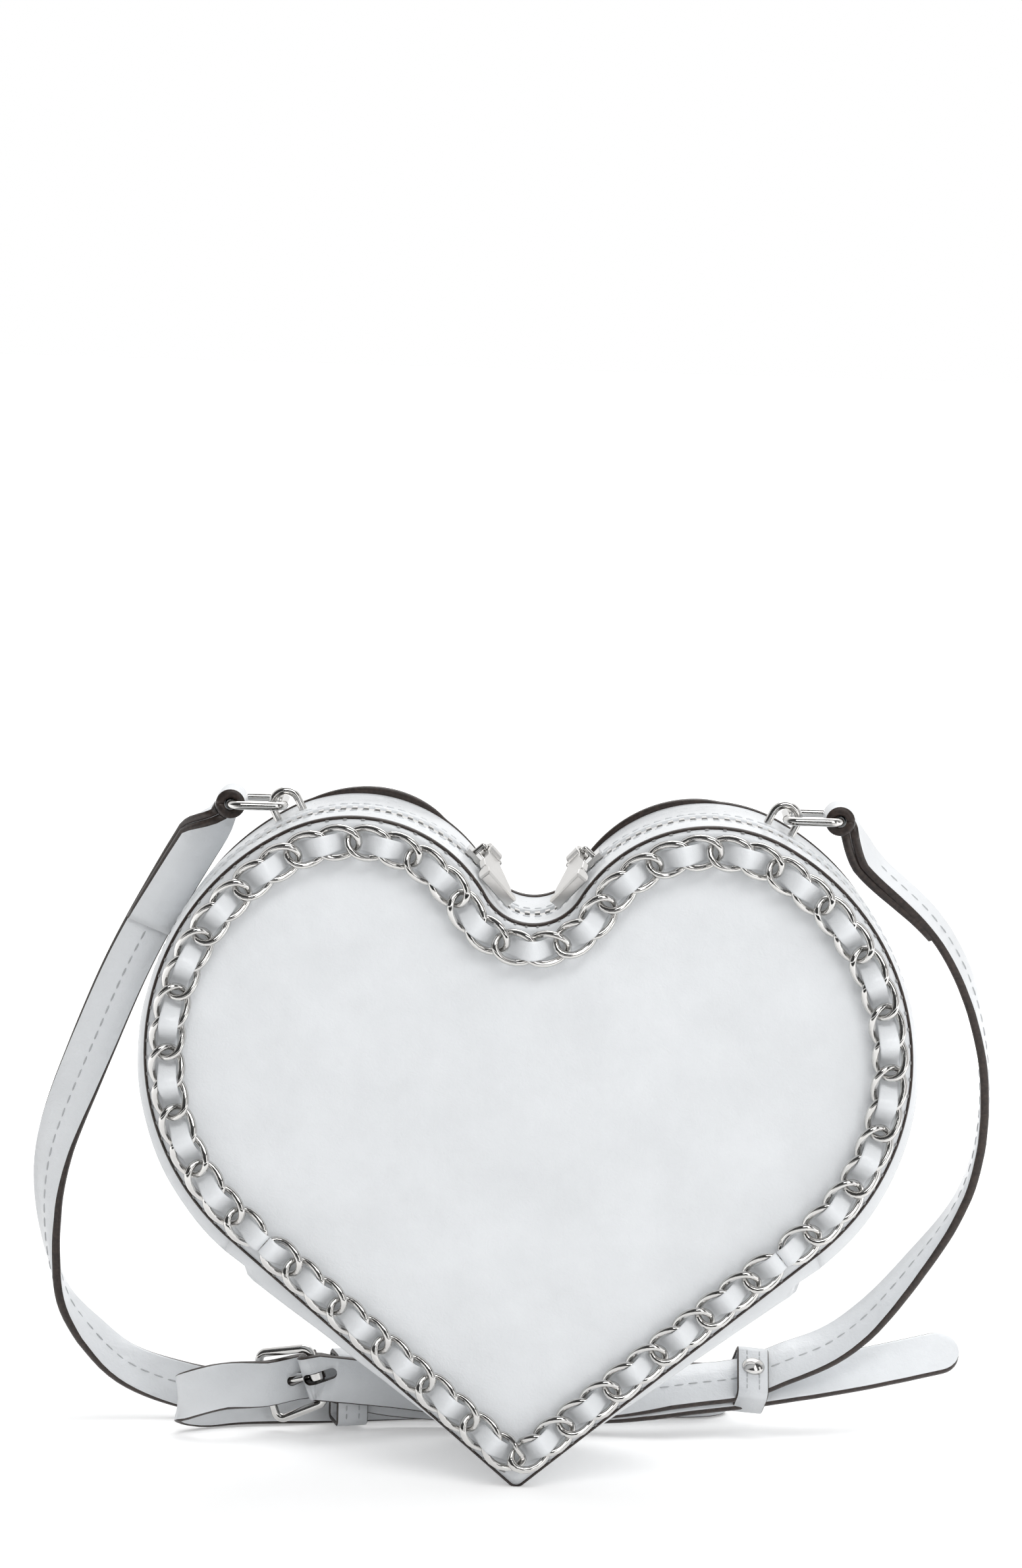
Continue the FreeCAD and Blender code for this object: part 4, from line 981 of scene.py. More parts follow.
def links_piece(name, half, start, count, pitch):
    """Twisted links of polished wire."""
    t = bpy.context.scene.trim
    long = (pitch + t.wire * LINK_OVERLAP + t.slack) / 2
    wide = (t.link_width - t.wire) / 2
    points, faces = [], []
    for number in range(count):
        centre = start + (number + 0.5) * pitch
        base = len(points)
        for step in range(LINK_STEPS):
            turn = math.tau * step / LINK_STEPS
            flat = Vector((long * math.cos(turn), wide * math.sin(turn), t.twist * math.sin(2 * turn)))
            speed = Vector((-long * math.sin(turn), wide * math.cos(turn), 2 * t.twist * math.cos(2 * turn)))
            speed.normalize()
            out = Vector((wide * math.cos(turn), long * math.sin(turn), 0))
            out = (out - speed * out.dot(speed)).normalized()
            up = speed.cross(out)
            for corner in range(WIRE_SIDES):
                spin = math.tau * corner / WIRE_SIDES
                spot = flat + out * (math.cos(spin) * t.wire / 2) + up * (math.sin(spin) * t.wire / 2)
                points.append(trim_spot(half, centre + spot.x, spot.y, spot.z))
        for face in grid_faces(LINK_STEPS, WIRE_SIDES, wrap_rows=True, wrap_columns=True):
            faces.append(tuple(base + index for index in face))
    return new_piece(name, points, faces, [material("polished_metal")])


RIBBON_STEPS = 10  # sections to a link
RIBBON_DWELL = 0.3  # how much longer the ribbon stays under a joint than over one
RIBBON_PINCH = 0.06  # share of the width lost inside a link


def ribbon_piece(name, half, start, end, pitch):
    """Leather ribbon over one joint of the chain and under the next."""
    t = bpy.context.scene.trim
    rise = weave_rise()
    over = t.wire + t.slack / 2
    first, last = start - over, end + over
    count = int((last - first) / pitch * RIBBON_STEPS)
    wide, thick = t.ribbon_width / 2, t.ribbon / 2
    profile = [(-wide, -thick * 0.4), (-wide * 0.9, -thick), (wide * 0.9, -thick), (wide, -thick * 0.4)]
    profile += [(wide, thick * 0.2), (wide * 0.8, thick * 0.8), (0, thick)]
    profile += [(-wide * 0.8, thick * 0.8), (-wide, thick * 0.2)]
    rings = []
    for step in range(count + 1):
        distance = first + (last - first) * step / count
        phase = math.pi * (distance - start) / pitch
        wave = rise * max(-1.0, (1 + RIBBON_DWELL) * math.cos(phase) - RIBBON_DWELL)
        narrow = 1.0 - RIBBON_PINCH * math.sin(phase) ** 2
        rings.append([trim_spot(half, distance, across * narrow, wave + up) for across, up in profile])
    return tube(name, rings, [material("ribbon_leather")])


HOLE_OUT = 0.0006  # from a link's side to the holes
HOLE_RISE = 0.00008
HOLE_SIZE = 0.0005
HOLE_SHARES = (0.38, 0.62)  # of half a link, from a hole's start to its end


def sewing_holes(name, half, start, count, pitch):
    """Sewing holes in the panel along the outer side of the links, as grey marks on its face; their grey is
    painted shade inside the holes.
    """
    s, t = bpy.context.scene.purse, bpy.context.scene.trim
    spots = []
    for number in range(count * 2):
        ends = []
        for place in HOLE_SHARES:
            point, normal = trim_at(half, start + (number + place) * pitch / 2)
            ends.append(put(point + normal * (t.link_width / 2 + HOLE_OUT), -s.depth / 2 - HOLE_RISE))
        spots.append((ends[0], ends[1], -BACKWARD))
    return capsules(name, spots, HOLE_SIZE, "hole")


class PURSE_OT_trim(bpy.types.Operator):
    """Chain links, woven ribbon and the sewing holes beside them"""

    bl_idname = "purse.trim"
    bl_label = "Build Woven Chain"

    def execute(self, context):
        half = trim_half()
        runs = zip(("flap", "base"), ("front_flap", "bag_body"), trim_spans(half))
        for run, body, (start, end, count, pitch) in runs:
            links = links_piece("chain_" + run + "_links", half, start, count, pitch)
            finish_piece(links, body, "polished_metal", "chain_" + run)
            ribbon = ribbon_piece("ribbon_" + run + "_leather", half, start, end, pitch)
            finish_piece(ribbon, body, "ribbon_leather", "ribbon_" + run)
            holes = sewing_holes("sewing_holes_" + run, half, start, count, pitch)
            finish_piece(holes, body, "white_leather")
        return {"FINISHED"}


# Strap

UP = (0, 0, 1)
LEAN = (0, 0.707, 0.707)
BACKWARD = Vector((0, 1, 0))
BUCKLE_SHARE = 0.44  # of the strap's reach, as in the next two
KEEPER_SHARE = 0.512
FIXED_SHARE = 0.357
KEEPER_ROOM = 0.0015
# Rows of a strap: shares of its reach, depth and height, and the direction of its width
LONG_DROP_SHARES = [
    (-0.715, 0.097, 0.942, (-0.75, -0.4, 0.5)), (-0.79, 0.188, 0.84, (-0.8, -0.3, 0.5)),
    (-0.873, 0.287, 0.716, (-0.88, -0.15, 0.42)), (-0.938, 0.368, 0.598, (-0.93, 0, 0.36)),
    (-0.994, 0.422, 0.488, (-0.9, 0.3, 0.25)), (-1.036, 0.468, 0.385, (-0.75, 0.6, 0.1)),
    (-1.046, 0.5, 0.283, (-0.5, 0.85, 0)), (-1.032, 0.513, 0.195, (-0.2, 0.97, 0)),
    (-1.001, 0.513, 0.129, (0.1, 0.98, 0.1)), (-0.952, 0.504, 0.084, (0.3, 0.88, 0.3)),
    (-0.883, 0.486, 0.038, (0.3, 0.75, 0.55)), (-0.77, 0.46, 0.006, (0.15, 0.5, 0.85)),
    (-0.655, 0.45, -0.009, (0, 0.2, 0.98)), (-0.53, 0.47, -0.01, UP),
]
LONG_FLOOR_SHARES = [
    (-0.25, 0.594, -0.010, UP), (0.10, 0.747, -0.010, UP), (0.35, 0.859, -0.010, UP),
    (0.425, 0.868, -0.010, UP), (0.457, 0.788, -0.010, UP), (0.425, 0.705, -0.010, UP),
    (0.35, 0.665, -0.010, UP), (0.10, 0.565, -0.010, UP), (-0.25, 0.469, -0.010, UP),
    (-0.40, 0.420, -0.013, (0, 0.3, 0.95)), (-0.53, 0.360, -0.013, (0, 0.45, 0.89)),
    (-0.64, 0.290, -0.012, (0, 0.4, 0.92)), (-0.712, 0.184, -0.005, (0.08, 0.2, 0.97)),
    (-0.732, 0.128, 0.006, UP), (-0.712, 0.079, 0.018, (0, 0.15, 0.99)),
    (-0.640, 0.090, 0.032, (0, 0.4, 0.92)),
]
TAIL_SHARES = [
    (-0.357, 0.306, 0.02, UP), (-0.27, 0.326, 0.007, UP), (-0.14, 0.355, 0.001, UP),
    (0.04, 0.395, 0, (0, 0.2, 0.98)), (0.155, 0.41, -0.002, (0, 0.5, 0.87)),
    (0.268, 0.424, 0.0009, LEAN), (0.372, 0.4856, 0.0078, LEAN), (0.483, 0.547, 0.0142, LEAN),
    (0.563, 0.5866, 0.0212, LEAN), (0.749, 0.686, 0.0398, LEAN), (0.93, 0.789, 0.064, LEAN),
]
SHORT_SHARES = [
    (0.709, 0.097, 0.94, (0.3, 0.93, 0.1)), (0.841, 0.21, 0.842, (0.3, 0.93, 0.15)),
    (0.947, 0.325, 0.717, (0.25, 0.96, 0.1)), (0.995, 0.43, 0.57, (0.08, 1, 0.05)),
    (0.998, 0.5, 0.456, (0.03, 1, 0)), (0.964, 0.545, 0.346, (-0.03, 1, 0.03)),
    (0.871, 0.585, 0.232, (-0.2, 0.95, 0.25)), (0.752, 0.6, 0.125, (-0.28, 0.82, 0.48)),
    (0.663, 0.583, 0.08, (-0.25, 0.75, 0.6)), (0.599, 0.56, 0.062, (-0.1, 0.71, 0.7)),
    (0.554, 0.5415, 0.0485, LEAN), (0.481, 0.5054, 0.0323, LEAN), (0.398, 0.46, 0.0264, LEAN),
    (0.324, 0.415, 0.0212, LEAN), (0.2326, 0.377, 0.0142, (0, 0.5, 0.87)),
    (0.08, 0.345, 0.004, (0, 0.2, 0.98)), (-0.06, 0.312, 0.004, UP), (-0.2, 0.285, 0.02, UP),
    (-0.32, 0.197, 0.036, UP),
]


def ring_bar(side):
    """Middle of the bar of a link ring that the strap folds around."""
    low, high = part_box(side + "_link_ring")
    wire = high[2] - low[2]
    x = high[0] - wire / 2 if side == "right" else low[0] + wire / 2
    return Vector((x, (low[1] + high[1]) / 2, (low[2] + high[2]) / 2)), wire


def buckle_bars():
    """Middle bar and end bar of the buckle, and the direction of both."""
    b = bpy.context.scene.strap
    bar_up = Vector((-math.sin(b.buckle_roll), 0, math.cos(b.buckle_roll)))
    flat = Vector((-math.cos(b.buckle_roll), 0, -math.sin(b.buckle_roll)))
    heading = flat * math.cos(b.buckle_tilt) + BACKWARD * math.sin(b.buckle_tilt)
    span = b.buckle_length - b.buckle_wire
    end_half = (b.buckle_end_width - b.buckle_wire) / 2
    end_height = b.floor_gap + b.buckle_lift + b.buckle_wire / 2 + end_half * bar_up.z
    middle = Vector((
        shift().x - BUCKLE_SHARE * b.reach,
        station(SHORT_SHARES[-1])[0].y - b.buckle_forward,
        end_height - span * heading.z))
    return middle, middle + heading * span, bar_up


def station(shares):
    """Place and width direction of one row of a strap table."""
    b = bpy.context.scene.strap
    across, back, rise, width = shares
    bar, _ = ring_bar("right")
    home = shift()
    ring_back = bar.y - home.y
    deep = ring_back + back * (b.back - ring_back)
    spot = Vector((across * b.reach, deep, b.floor + rise * (bar.z - b.floor)))
    return spot + Vector((home.x, home.y, 0)), Vector(width)


LINE_STEP = 0.003


def smooth_rows(rows):
    """Places, headings and widths along a smooth line through the rows."""
    spots = np.array([tuple(spot) for spot, _ in rows])
    widths = np.array([tuple(width) for _, width in rows])
    knots = np.concatenate([[0.0], np.cumsum(np.linalg.norm(np.diff(spots, axis=0), axis=1))])
    gaps = np.diff(knots)
    count = len(spots)
    matrix = np.zeros((count, count))
    right = np.zeros((count, 3))
    matrix[0, 0] = matrix[-1, -1] = 1.0
    for i in range(1, count - 1):
        matrix[i, i - 1:i + 2] = gaps[i - 1], 2 * (gaps[i - 1] + gaps[i]), gaps[i]
        right[i] = 6 * ((spots[i + 1] - spots[i]) / gaps[i] - (spots[i] - spots[i - 1]) / gaps[i - 1])
    curve = np.linalg.solve(matrix, right)
    result = []
    for i in range(count - 1):
        steps = max(3, math.ceil(gaps[i] / LINE_STEP))
        for number in range(steps + (i == count - 2)):
            part = number / steps
            a, b = 1 - part, part
            bend = gaps[i] ** 2 / 6
            place = a * spots[i] + b * spots[i + 1]
            place = place + ((a ** 3 - a) * curve[i] + (b ** 3 - b) * curve[i + 1]) * bend
            slope = (spots[i + 1] - spots[i]) / gaps[i]
            slope = slope + ((1 - 3 * a * a) * curve[i] + (3 * b * b - 1) * curve[i + 1]) * gaps[i] / 6
            heading = Vector(slope).normalized()
            width = Vector(a * widths[i] + b * widths[i + 1])
            width = (width - heading * width.dot(heading)).normalized()
            result.append((Vector(place), heading, width))
    return result


def strap_profile():
    """Section of the strap as (across, out) pairs and the material of each side."""
    b = bpy.context.scene.strap
    wide, thick = b.width / 2, b.thickness / 2
    top = [(-wide + 0.0004, thick * 0.92), (-wide * 0.85, thick), (-wide * 0.4, thick * 1.04)]
    top += [(0, thick * 0.98), (wide * 0.4, thick * 1.04)]
    top += [(wide * 0.85, thick), (wide - 0.0004, thick * 0.92)]
    edge = [(wide, thick * 0.5), (wide + 0.0001, 0), (wide, -thick * 0.5)]
    under = [(wide - 0.0004, -thick * 0.92), (0, -thick), (-wide + 0.0004, -thick * 0.92)]
    other = [(-wide, -thick * 0.5), (-wide - 0.0001, 0), (-wide, thick * 0.5)]
    tags = [0] * 6 + [1] * 4 + [0] * 2 + [1] * 4
    return top + edge + under + other, tags


def strap_surfaces():
    """Leather of the strap and paint of its edges."""
    return [material("strap_leather"), material("edge_paint")]


FOLD_STEPS = 28
FULL_TURN = math.tau * 0.999


def wound(profile, centre, axis, start, sweep, radius, way=1):
    """Sections of a strap around a bar, from a first direction through an angle."""
    side = axis.cross(start).normalized()
    rings = []
    for step in range(FOLD_STEPS + 1):
        turn = sweep * step / FOLD_STEPS
        away = start * math.cos(turn) + side * math.sin(turn)
        rings.append([centre + axis * across + away * (radius + way * out) for across, out in profile])
    return rings


STRAP_WAVE = (0.006, 0.00012)  # scale and height of the unevenness
TIP_SHARES = (0.2, 0.4, 0.6, 0.76, 0.88, 0.95, 0.99)


def strap_band(name, line, tip=False, wrap=None):
    """Painted edge leather band along a line, and around a bar at its end."""
    profile, tags = strap_profile()
    b = bpy.context.scene.strap
    rings = []
    for place, heading, width in line:
        face = heading.cross(width)
        rings.append([
            place + width * across + face * (out + wobble(place + width * across, *STRAP_WAVE))
            for across, out in profile])
    if tip:
        place, heading, width = line[-1]
        face = heading.cross(width)
        for share in TIP_SHARES:
            narrow = math.sqrt(1 - share ** 2)
            ahead = place + heading * (b.width / 2 * share)
            rings.append([ahead + width * across * narrow + face * out for across, out in profile])
    if wrap:
        rings += wound(profile, *wrap, way=-1)[1:]
    return tube(name, rings, strap_surfaces(), tags=tags)


TURNED_REACH = 0.046


def turned_back(name, line):
    """Second layer of leather from the fold down along the inner side, thinning out."""
    b = bpy.context.scene.strap
    under, gone = [], 0.0
    for (first, heading, width), (second, _, _) in zip(line, line[1:]):
        part = gone / TURNED_REACH
        if part > 1:
            break
        face = heading.cross(width)
        under.append((first - face * (b.thickness * (0.96 - 0.7 * part ** 2)), heading, width))
        gone += (second - first).length
    return strap_band(name, under)


def fold_band(name, bar, away, radius):
    """End of the strap wrapped around a ring's bar."""
    profile, tags = strap_profile()
    rings = wound(profile, bar, BACKWARD, away, FULL_TURN, radius)
    return tube(name, rings, strap_surfaces(), tags=tags)


STRAP_STITCH_PITCH = 0.0042
STRAP_THREAD = 0.0005
KEEPER_THREAD = 0.0004


def band_stitches(name, line, out, start, end):
    """Row of stitches along a strap's middle, on one face, between two lengths."""
    b = bpy.context.scene.strap
    spots, gone, next_at = [], 0.0, start
    for (first, heading, width), (second, _, _) in zip(line, line[1:]):
        span = (second - first).length
        while next_at < min(gone + span, end):
            face = heading.cross(width)
            place = first + heading * (next_at - gone) + face * (out * b.thickness / 2)
            reach = heading * STRAP_STITCH_PITCH * 0.33
            spots.append((place - reach, place + reach, face * out))
            next_at += STRAP_STITCH_PITCH
        gone += span
    return capsules(name, spots, STRAP_THREAD, "stitch")


CUT_REACH = 0.007
CUT_STEPS = 24


def slotted(piece, middle, heading, size):
    """Cuts a rounded slot straight through a piece, with painted walls."""
    long, tall = size
    side = heading.cross(BACKWARD).normalized()
    rings = []
    for depth in (-CUT_REACH, CUT_REACH):
        ring = []
        for step in range(CUT_STEPS):
            turn = math.tau * (step + 0.5) / CUT_STEPS
            along = math.copysign((long - tall) / 2, math.cos(turn)) + tall / 2 * math.cos(turn)
            ring.append(middle + BACKWARD * depth + heading * along + side * (tall / 2 * math.sin(turn)))
        rings.append(ring)
    cutter = tube("slot", rings, [material("edge_paint")])
    cut = piece.modifiers.new("slot", "BOOLEAN")
    cut.operation = "DIFFERENCE"
    cut.solver = "EXACT"
    cut.use_self = True
    cut.material_mode = "TRANSFER"
    cut.object = cutter
    mesh = bpy.data.meshes.new_from_object(piece.evaluated_get(bpy.context.evaluated_depsgraph_get()))
    piece.modifiers.clear()
    piece.data = mesh
    bpy.data.objects.remove(cutter)


def strand(line, x):
    """Place and level heading of a strap's last run at one place across the bag."""
    for (first, _, _), (second, _, _) in reversed(list(zip(line, line[1:]))):
        if min(first.x, second.x) <= x <= max(first.x, second.x):
            way = second - first if second.x > first.x else first - second
            level = Vector((way.x, way.y, 0)).normalized()
            return first.lerp(second, (x - first.x) / (second.x - first.x)), level


KEEPER_CORNER = 0.0016
KEEPER_STITCH_HALF = 0.0008


def keeper_piece(name, middle, heading, deep, tall, up=Vector(UP)):
    """Leather loop with a clear opening of one depth and height."""
    b = bpy.context.scene.strap
    across = up.cross(heading)
    half, wide, corner = b.keeper / 2, b.keeper_width / 2, KEEPER_CORNER
    path = []
    for side, rise, start in ((1, 1, 0), (-1, 1, 90), (-1, -1, 180), (1, -1, 270)):
        for step in range(7):
            turn = math.radians(start + 90 * step / 6)
            out = across * math.cos(turn) + up * math.sin(turn)
            centre = across * (side * (deep / 2 + half - corner)) + up * (rise * (tall / 2 + half - corner))
            path.append((middle + centre + out * corner, out))
    profile = [(-wide + 0.0003, half), (0, half * 1.05), (wide - 0.0003, half)]
    profile += [(wide, half * 0.4), (wide, -half * 0.4), (wide - 0.0003, -half)]
    profile += [(-wide + 0.0003, -half), (-wide, -half * 0.4), (-wide, half * 0.4)]
    tags = [0, 0, 1, 1, 1, 0, 1, 1, 1]
    rings = [[place + heading * along + out * up_by for along, up_by in profile] for place, out in path]
    return tube(name, rings, strap_surfaces(), closed=True, tags=tags)


def keeper_stitches(name, middle, heading, deep, tall, up=Vector(UP)):
    """Two upright rows of stitches on the front of a keeper."""
    b = bpy.context.scene.strap
    front = up.cross(heading) * -1
    spots = []
    for side in (-1, 1):
        foot = middle + front * (deep / 2 + b.keeper) + heading * (side * b.keeper_width * 0.2)
        for step in range(-3, 4):
            place = foot + up * (tall * step / 7.5)
            reach = up * KEEPER_STITCH_HALF
            spots.append((place - reach, place + reach, front))
    return capsules(name, spots, KEEPER_THREAD, "stitch")


STUD_RISE = 0.001
STUD_HALF_WIDTH = 0.0033
STUD_HALF_HEIGHT = 0.0027
STUD_STEPS = 28
# Sections of the stud: share of its size, and height over the keeper
STUD_SECTIONS = (
    (1.0, -0.0004), (1.0, 0.0003), (0.93, 0.0008), (0.75, 0.0013), (0.45, 0.0017), (0.02, 0.0018))


def stud_piece(foot, heading, up):
    """Domed stud on a keeper's front."""
    front = up.cross(heading) * -1
    turns = [math.tau * step / STUD_STEPS for step in range(STUD_STEPS)]
    rings = []
    for size, rise in STUD_SECTIONS:
        centre = foot + front * rise
        wide, tall = heading * STUD_HALF_WIDTH * size, up * STUD_HALF_HEIGHT * size
        rings.append([centre + wide * math.cos(turn) + tall * math.sin(turn) for turn in turns])
    return tube("keeper_stud_dome", rings, [material("polished_metal")])


def long_line():
    """Middle line of the long strap from the left ring to its tip."""
    b = bpy.context.scene.strap
    middle, end, _ = buckle_bars()
    half = b.thickness / 2
    left, wire = ring_bar("left")
    inner = wire / 2 + b.fold_clearance
    front = end - BACKWARD * (b.buckle_wire / 2 + b.buckle_slack + half)
    behind = middle + BACKWARD * (inner + b.thickness + b.buckle_slack + half)
    ride = Vector((0, 0, b.buckle_ride))
    rows = [(left - Vector((inner + half, 0, 0)), -BACKWARD)]
    rows += [station(row) for row in LONG_DROP_SHARES + LONG_FLOOR_SHARES]
    rows += [(front + ride, Vector(UP)), (behind - ride, Vector(UP))]
    return smooth_rows(rows + [station(row) for row in TAIL_SHARES])


def short_line():
    """Middle line of the short strap from the right ring to the buckle."""
    b = bpy.context.scene.strap
    middle, _, bar_up = buckle_bars()
    right, wire = ring_bar("right")
    away = wire / 2 + b.fold_clearance + b.thickness / 2
    rows = [(right + Vector((away, 0, 0)), BACKWARD)]
    rows += [station(row) for row in SHORT_SHARES]
    return smooth_rows(rows + [(middle - BACKWARD * away, bar_up)])


TONGUE_HOLE = (0.0052, 0.0031)
TONGUE_HOLE_SHARE = 0.42
TONGUE_SLOT = (0.0098, 0.0032)
TONGUE_SLOT_LEAD = 0.001
BUCKLE_SWEEP = -math.tau * 0.55
LONG_SEWN = (0.01, 0.33)  # lengths between which a strap is stitched
SHORT_SEWN = (0.02, 0.27)


class PURSE_OT_strap(bpy.types.Operator):
    """Leather strap, keepers and their stitching"""

    bl_idname = "purse.strap"
    bl_label = "Build Strap"

    def execute(self, context):
        b = context.scene.strap
        middle, end, bar_up = buckle_bars()
        radius = ring_bar("right")[1] / 2 + b.fold_clearance + b.thickness / 2
        flat = BACKWARD.cross(bar_up)
        tail = long_line()
        band = strap_band("strap_long_band", tail, tip=True)
        slotted(band, middle.lerp(end, TONGUE_HOLE_SHARE), flat, TONGUE_HOLE)
        self.lay("strap_long", "left", band, tail, radius, LONG_SEWN)
        line = short_line()
        wrap = (middle, bar_up, -BACKWARD, BUCKLE_SWEEP, radius)
        band = strap_band("strap_short_band", line, wrap=wrap)
        slotted(band, middle + flat * TONGUE_SLOT_LEAD, flat, TONGUE_SLOT)
        self.lay("strap_short", "right", band, line, radius, SHORT_SEWN)
        self.keepers(b, tail, line)
        return {"FINISHED"}

    def lay(self, name, side, band, line, radius, sewn):
        """One strap: its band with the fold at the ring, the second layer and the stitches."""
        away = Vector((-1 if side == "left" else 1, 0, 0))
        loop = fold_band(name + "_fold", ring_bar(side)[0], away, radius)
        leather = joined(name + "_leather", [band, loop, turned_back(name + "_turned", line)])
        finish_piece(leather, "strap", "strap_leather", name)
        for out, face in ((1, "_stitches"), (-1, "_back_stitches")):
            finish_piece(band_stitches(name + face, line, out, *sewn), "strap", "strap_leather")

    def keepers(self, b, tail, line):
        """Fixed and sliding loop, with their stitches and the stud."""
        half = b.thickness / 2
        home = shift().x
        spot, heading = strand(line, home - FIXED_SHARE * b.reach)
        held, _ = strand(tail, home - FIXED_SHARE * b.reach)
        across = Vector(UP).cross(heading)
        near = half + b.fixed_seat + b.keeper
        far = (held - spot).dot(across) + half + b.fixed_room
        middle = spot + across * ((near + far) / 2)
        middle.z = held.z
        size = (far - near, b.width + b.fixed_room * 2)
        loop = keeper_piece("fixed_keeper_leather", middle, heading, *size)
        finish_piece(loop, "strap", "strap_leather", "fixed_keeper")
        stitches = keeper_stitches("fixed_keeper_stitches", middle, heading, *size)
        finish_piece(stitches, "strap", "strap_leather")
        spot, heading = strand(line, home + KEEPER_SHARE * b.reach)
        held, _ = strand(tail, home + KEEPER_SHARE * b.reach)
        up = Vector(LEAN).normalized()
        heading = (heading - up * heading.dot(up)).normalized()
        across = up.cross(heading)
        reach = (held - spot).dot(across)
        size = (reach + b.thickness + b.keeper_clearance * 2 + KEEPER_ROOM, b.width + b.keeper_clearance * 2)
        middle = spot + across * (reach / 2)
        loop = keeper_piece("sliding_keeper_leather", middle, heading, *size, up)
        finish_piece(loop, "keeper_body", "strap_leather", "sliding_keeper")
        stitches = keeper_stitches("sliding_keeper_stitches", middle, heading, *size, up)
        finish_piece(stitches, "keeper_body", "strap_leather")
        foot = middle - across * (size[0] / 2 + b.keeper) + up * STUD_RISE
        finish_piece(stud_piece(foot, heading, up), "keeper_body", "polished_metal", "keeper_stud")


class PURSE_OT_hardware(bpy.types.Operator):
    """Metal rings, anchors and buckle"""

    bl_idname = "purse.hardware"
    bl_label = "Dress Metal Fittings"

    def execute(self, context):
        for side in ("left", "right"):
            for node in ("_anchor", "_anchor_plate", "_link_ring"):
                dress(side + node, "polished_metal", FINE_BEVEL)
        for node in ("buckle_frame", "buckle_tongue"):
            dress(node, "polished_metal", FINE_BEVEL)
        return {"FINISHED"}


# Inside


POCKET_CLOTH = 0.0006
POCKET_SLACK = 0.0016


def pocket_piece():
    """Slip pocket sewn to the back lining, open and slightly slack at its top."""
    low, high = (Vector(corner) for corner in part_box("slip_pocket"))
    thick = POCKET_CLOTH
    columns, rows = 33, 13
    points = []
    for face in (0, 1):
        for row in range(rows):
            rise = row / (rows - 1)
            for column in range(columns):
                share = column / (columns - 1)
                side = min(share, 1 - share) * 2
                bulge = (1 - (1 - min(1.0, side * 2.2)) ** 2) * (0.25 + 0.75 * rise)
                slack = POCKET_SLACK * math.sin(math.pi * share) * rise ** 3
                y = high.y - thick - (high.y - low.y - thick * 2) * bulge + face * thick
                x = low.x + (high.x - low.x) * share
                points.append(Vector((x, y, low.z + (high.z - low.z) * rise - slack)))
    faces = grid_faces(rows, columns)
    size = rows * columns
    faces += [tuple(size + index for index in reversed(face)) for face in grid_faces(rows, columns)]
    rim = list(range(columns))
    rim += [row * columns + columns - 1 for row in range(1, rows)]
    rim += [(rows - 1) * columns + column for column in range(columns - 2, -1, -1)]
    rim += [row * columns for row in range(rows - 2, 0, -1)]
    for first, second in zip(rim, rim[1:] + rim[:1]):
        faces.append((first, second, second + size, first + size))
    return new_piece("slip_pocket_cloth", points, faces, [material("lining_cloth")])


LINING_INSET = 0.0032


def lining_skin(side):
    """Lining of the front or back panel, from the inner face of its solid."""
    low, high = (corner[1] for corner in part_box(side + "_lining"))
    near = (high if side == "front" else low) - shift().y
    return panel_skin(side + "_lining_cloth", -LINING_INSET, near, low - high, 0.0, "lining_cloth", 0.0)


class PURSE_OT_inside(bpy.types.Operator):
    """Lining, boards and pocket"""

    bl_idname = "purse.inside"
    bl_label = "Build Inside"

    def execute(self, context):
        bend_piece(lining_skin("front"), "lining_cloth", "front_lining", "front_lining_base")
        finish_piece(lining_skin("back"), "bag_body", "lining_cloth", "back_lining")
        finish_piece(pocket_piece(), "bag_body", "lining_cloth", "slip_pocket")
        for node in ("front_board", "front_board_base", "back_board"):
            dress(node, "board")
        return {"FINISHED"}


# Stage

CAMERA_PLACE = Vector((-0.00015, -1.28644, 0.36605))
CAMERA_TURNS = (-0.0052, 0.1366, 0.0283)  # yaw, pitch and roll
FOCAL_PIXELS = 7254.5
PHOTO_HEIGHT = 2380
SENSOR_HEIGHT = 36.0
# Place, target, size and watts of each lamp
LAMPS = {
    "key": ((0.25, -1.0, 1.25), (0, 0, 0.09), (1.1, 0.5), 8.2),
    "fill": ((0.8, -1.3, 0.5), (0, 0, 0.09), (0.5, 1.0), 3.1),
    "top": ((0.15, 0.6, 1.2), (0, 0, 0.05), (1.0, 0.7), 8.0),
    "side": ((1.2, -0.6, 0.4), (0, 0, 0.09), (0.3, 0.9), 1.2),
}


def camera_pose(place, yaw, pitch, roll):
    """Camera matrix from its place and angles, looking along +Y at zero."""
    ahead = Vector((math.sin(yaw) * math.cos(pitch), math.cos(yaw) * math.cos(pitch), -math.sin(pitch)))
    side = Vector((math.cos(yaw), -math.sin(yaw), 0))
    top = side.cross(ahead)
    right = side * math.cos(roll) + top * math.sin(roll)
    up = top * math.cos(roll) - side * math.sin(roll)
    return Matrix((
        (right.x, up.x, -ahead.x, place.x),
        (right.y, up.y, -ahead.y, place.y),
        (right.z, up.z, -ahead.z, place.z),
        (0, 0, 0, 1),
    ))


def seen_directly(nodes, links):
    """One where the camera, a mirror or glass looks at the surface, zero for other light."""
    path = nodes.new("ShaderNodeLightPath")
    last = path.outputs["Is Camera Ray"]
    for name in ("Is Glossy Ray", "Is Transmission Ray"):
        either = nodes.new("ShaderNodeMath")
        either.operation = "MAXIMUM"
        links.new(last, either.inputs[0])
        links.new(path.outputs[name], either.inputs[1])
        last = either.outputs["Value"]
    return last


FLOOR_GLOW = 0.3
FLOOR_FADE = (0.15, 0.75)


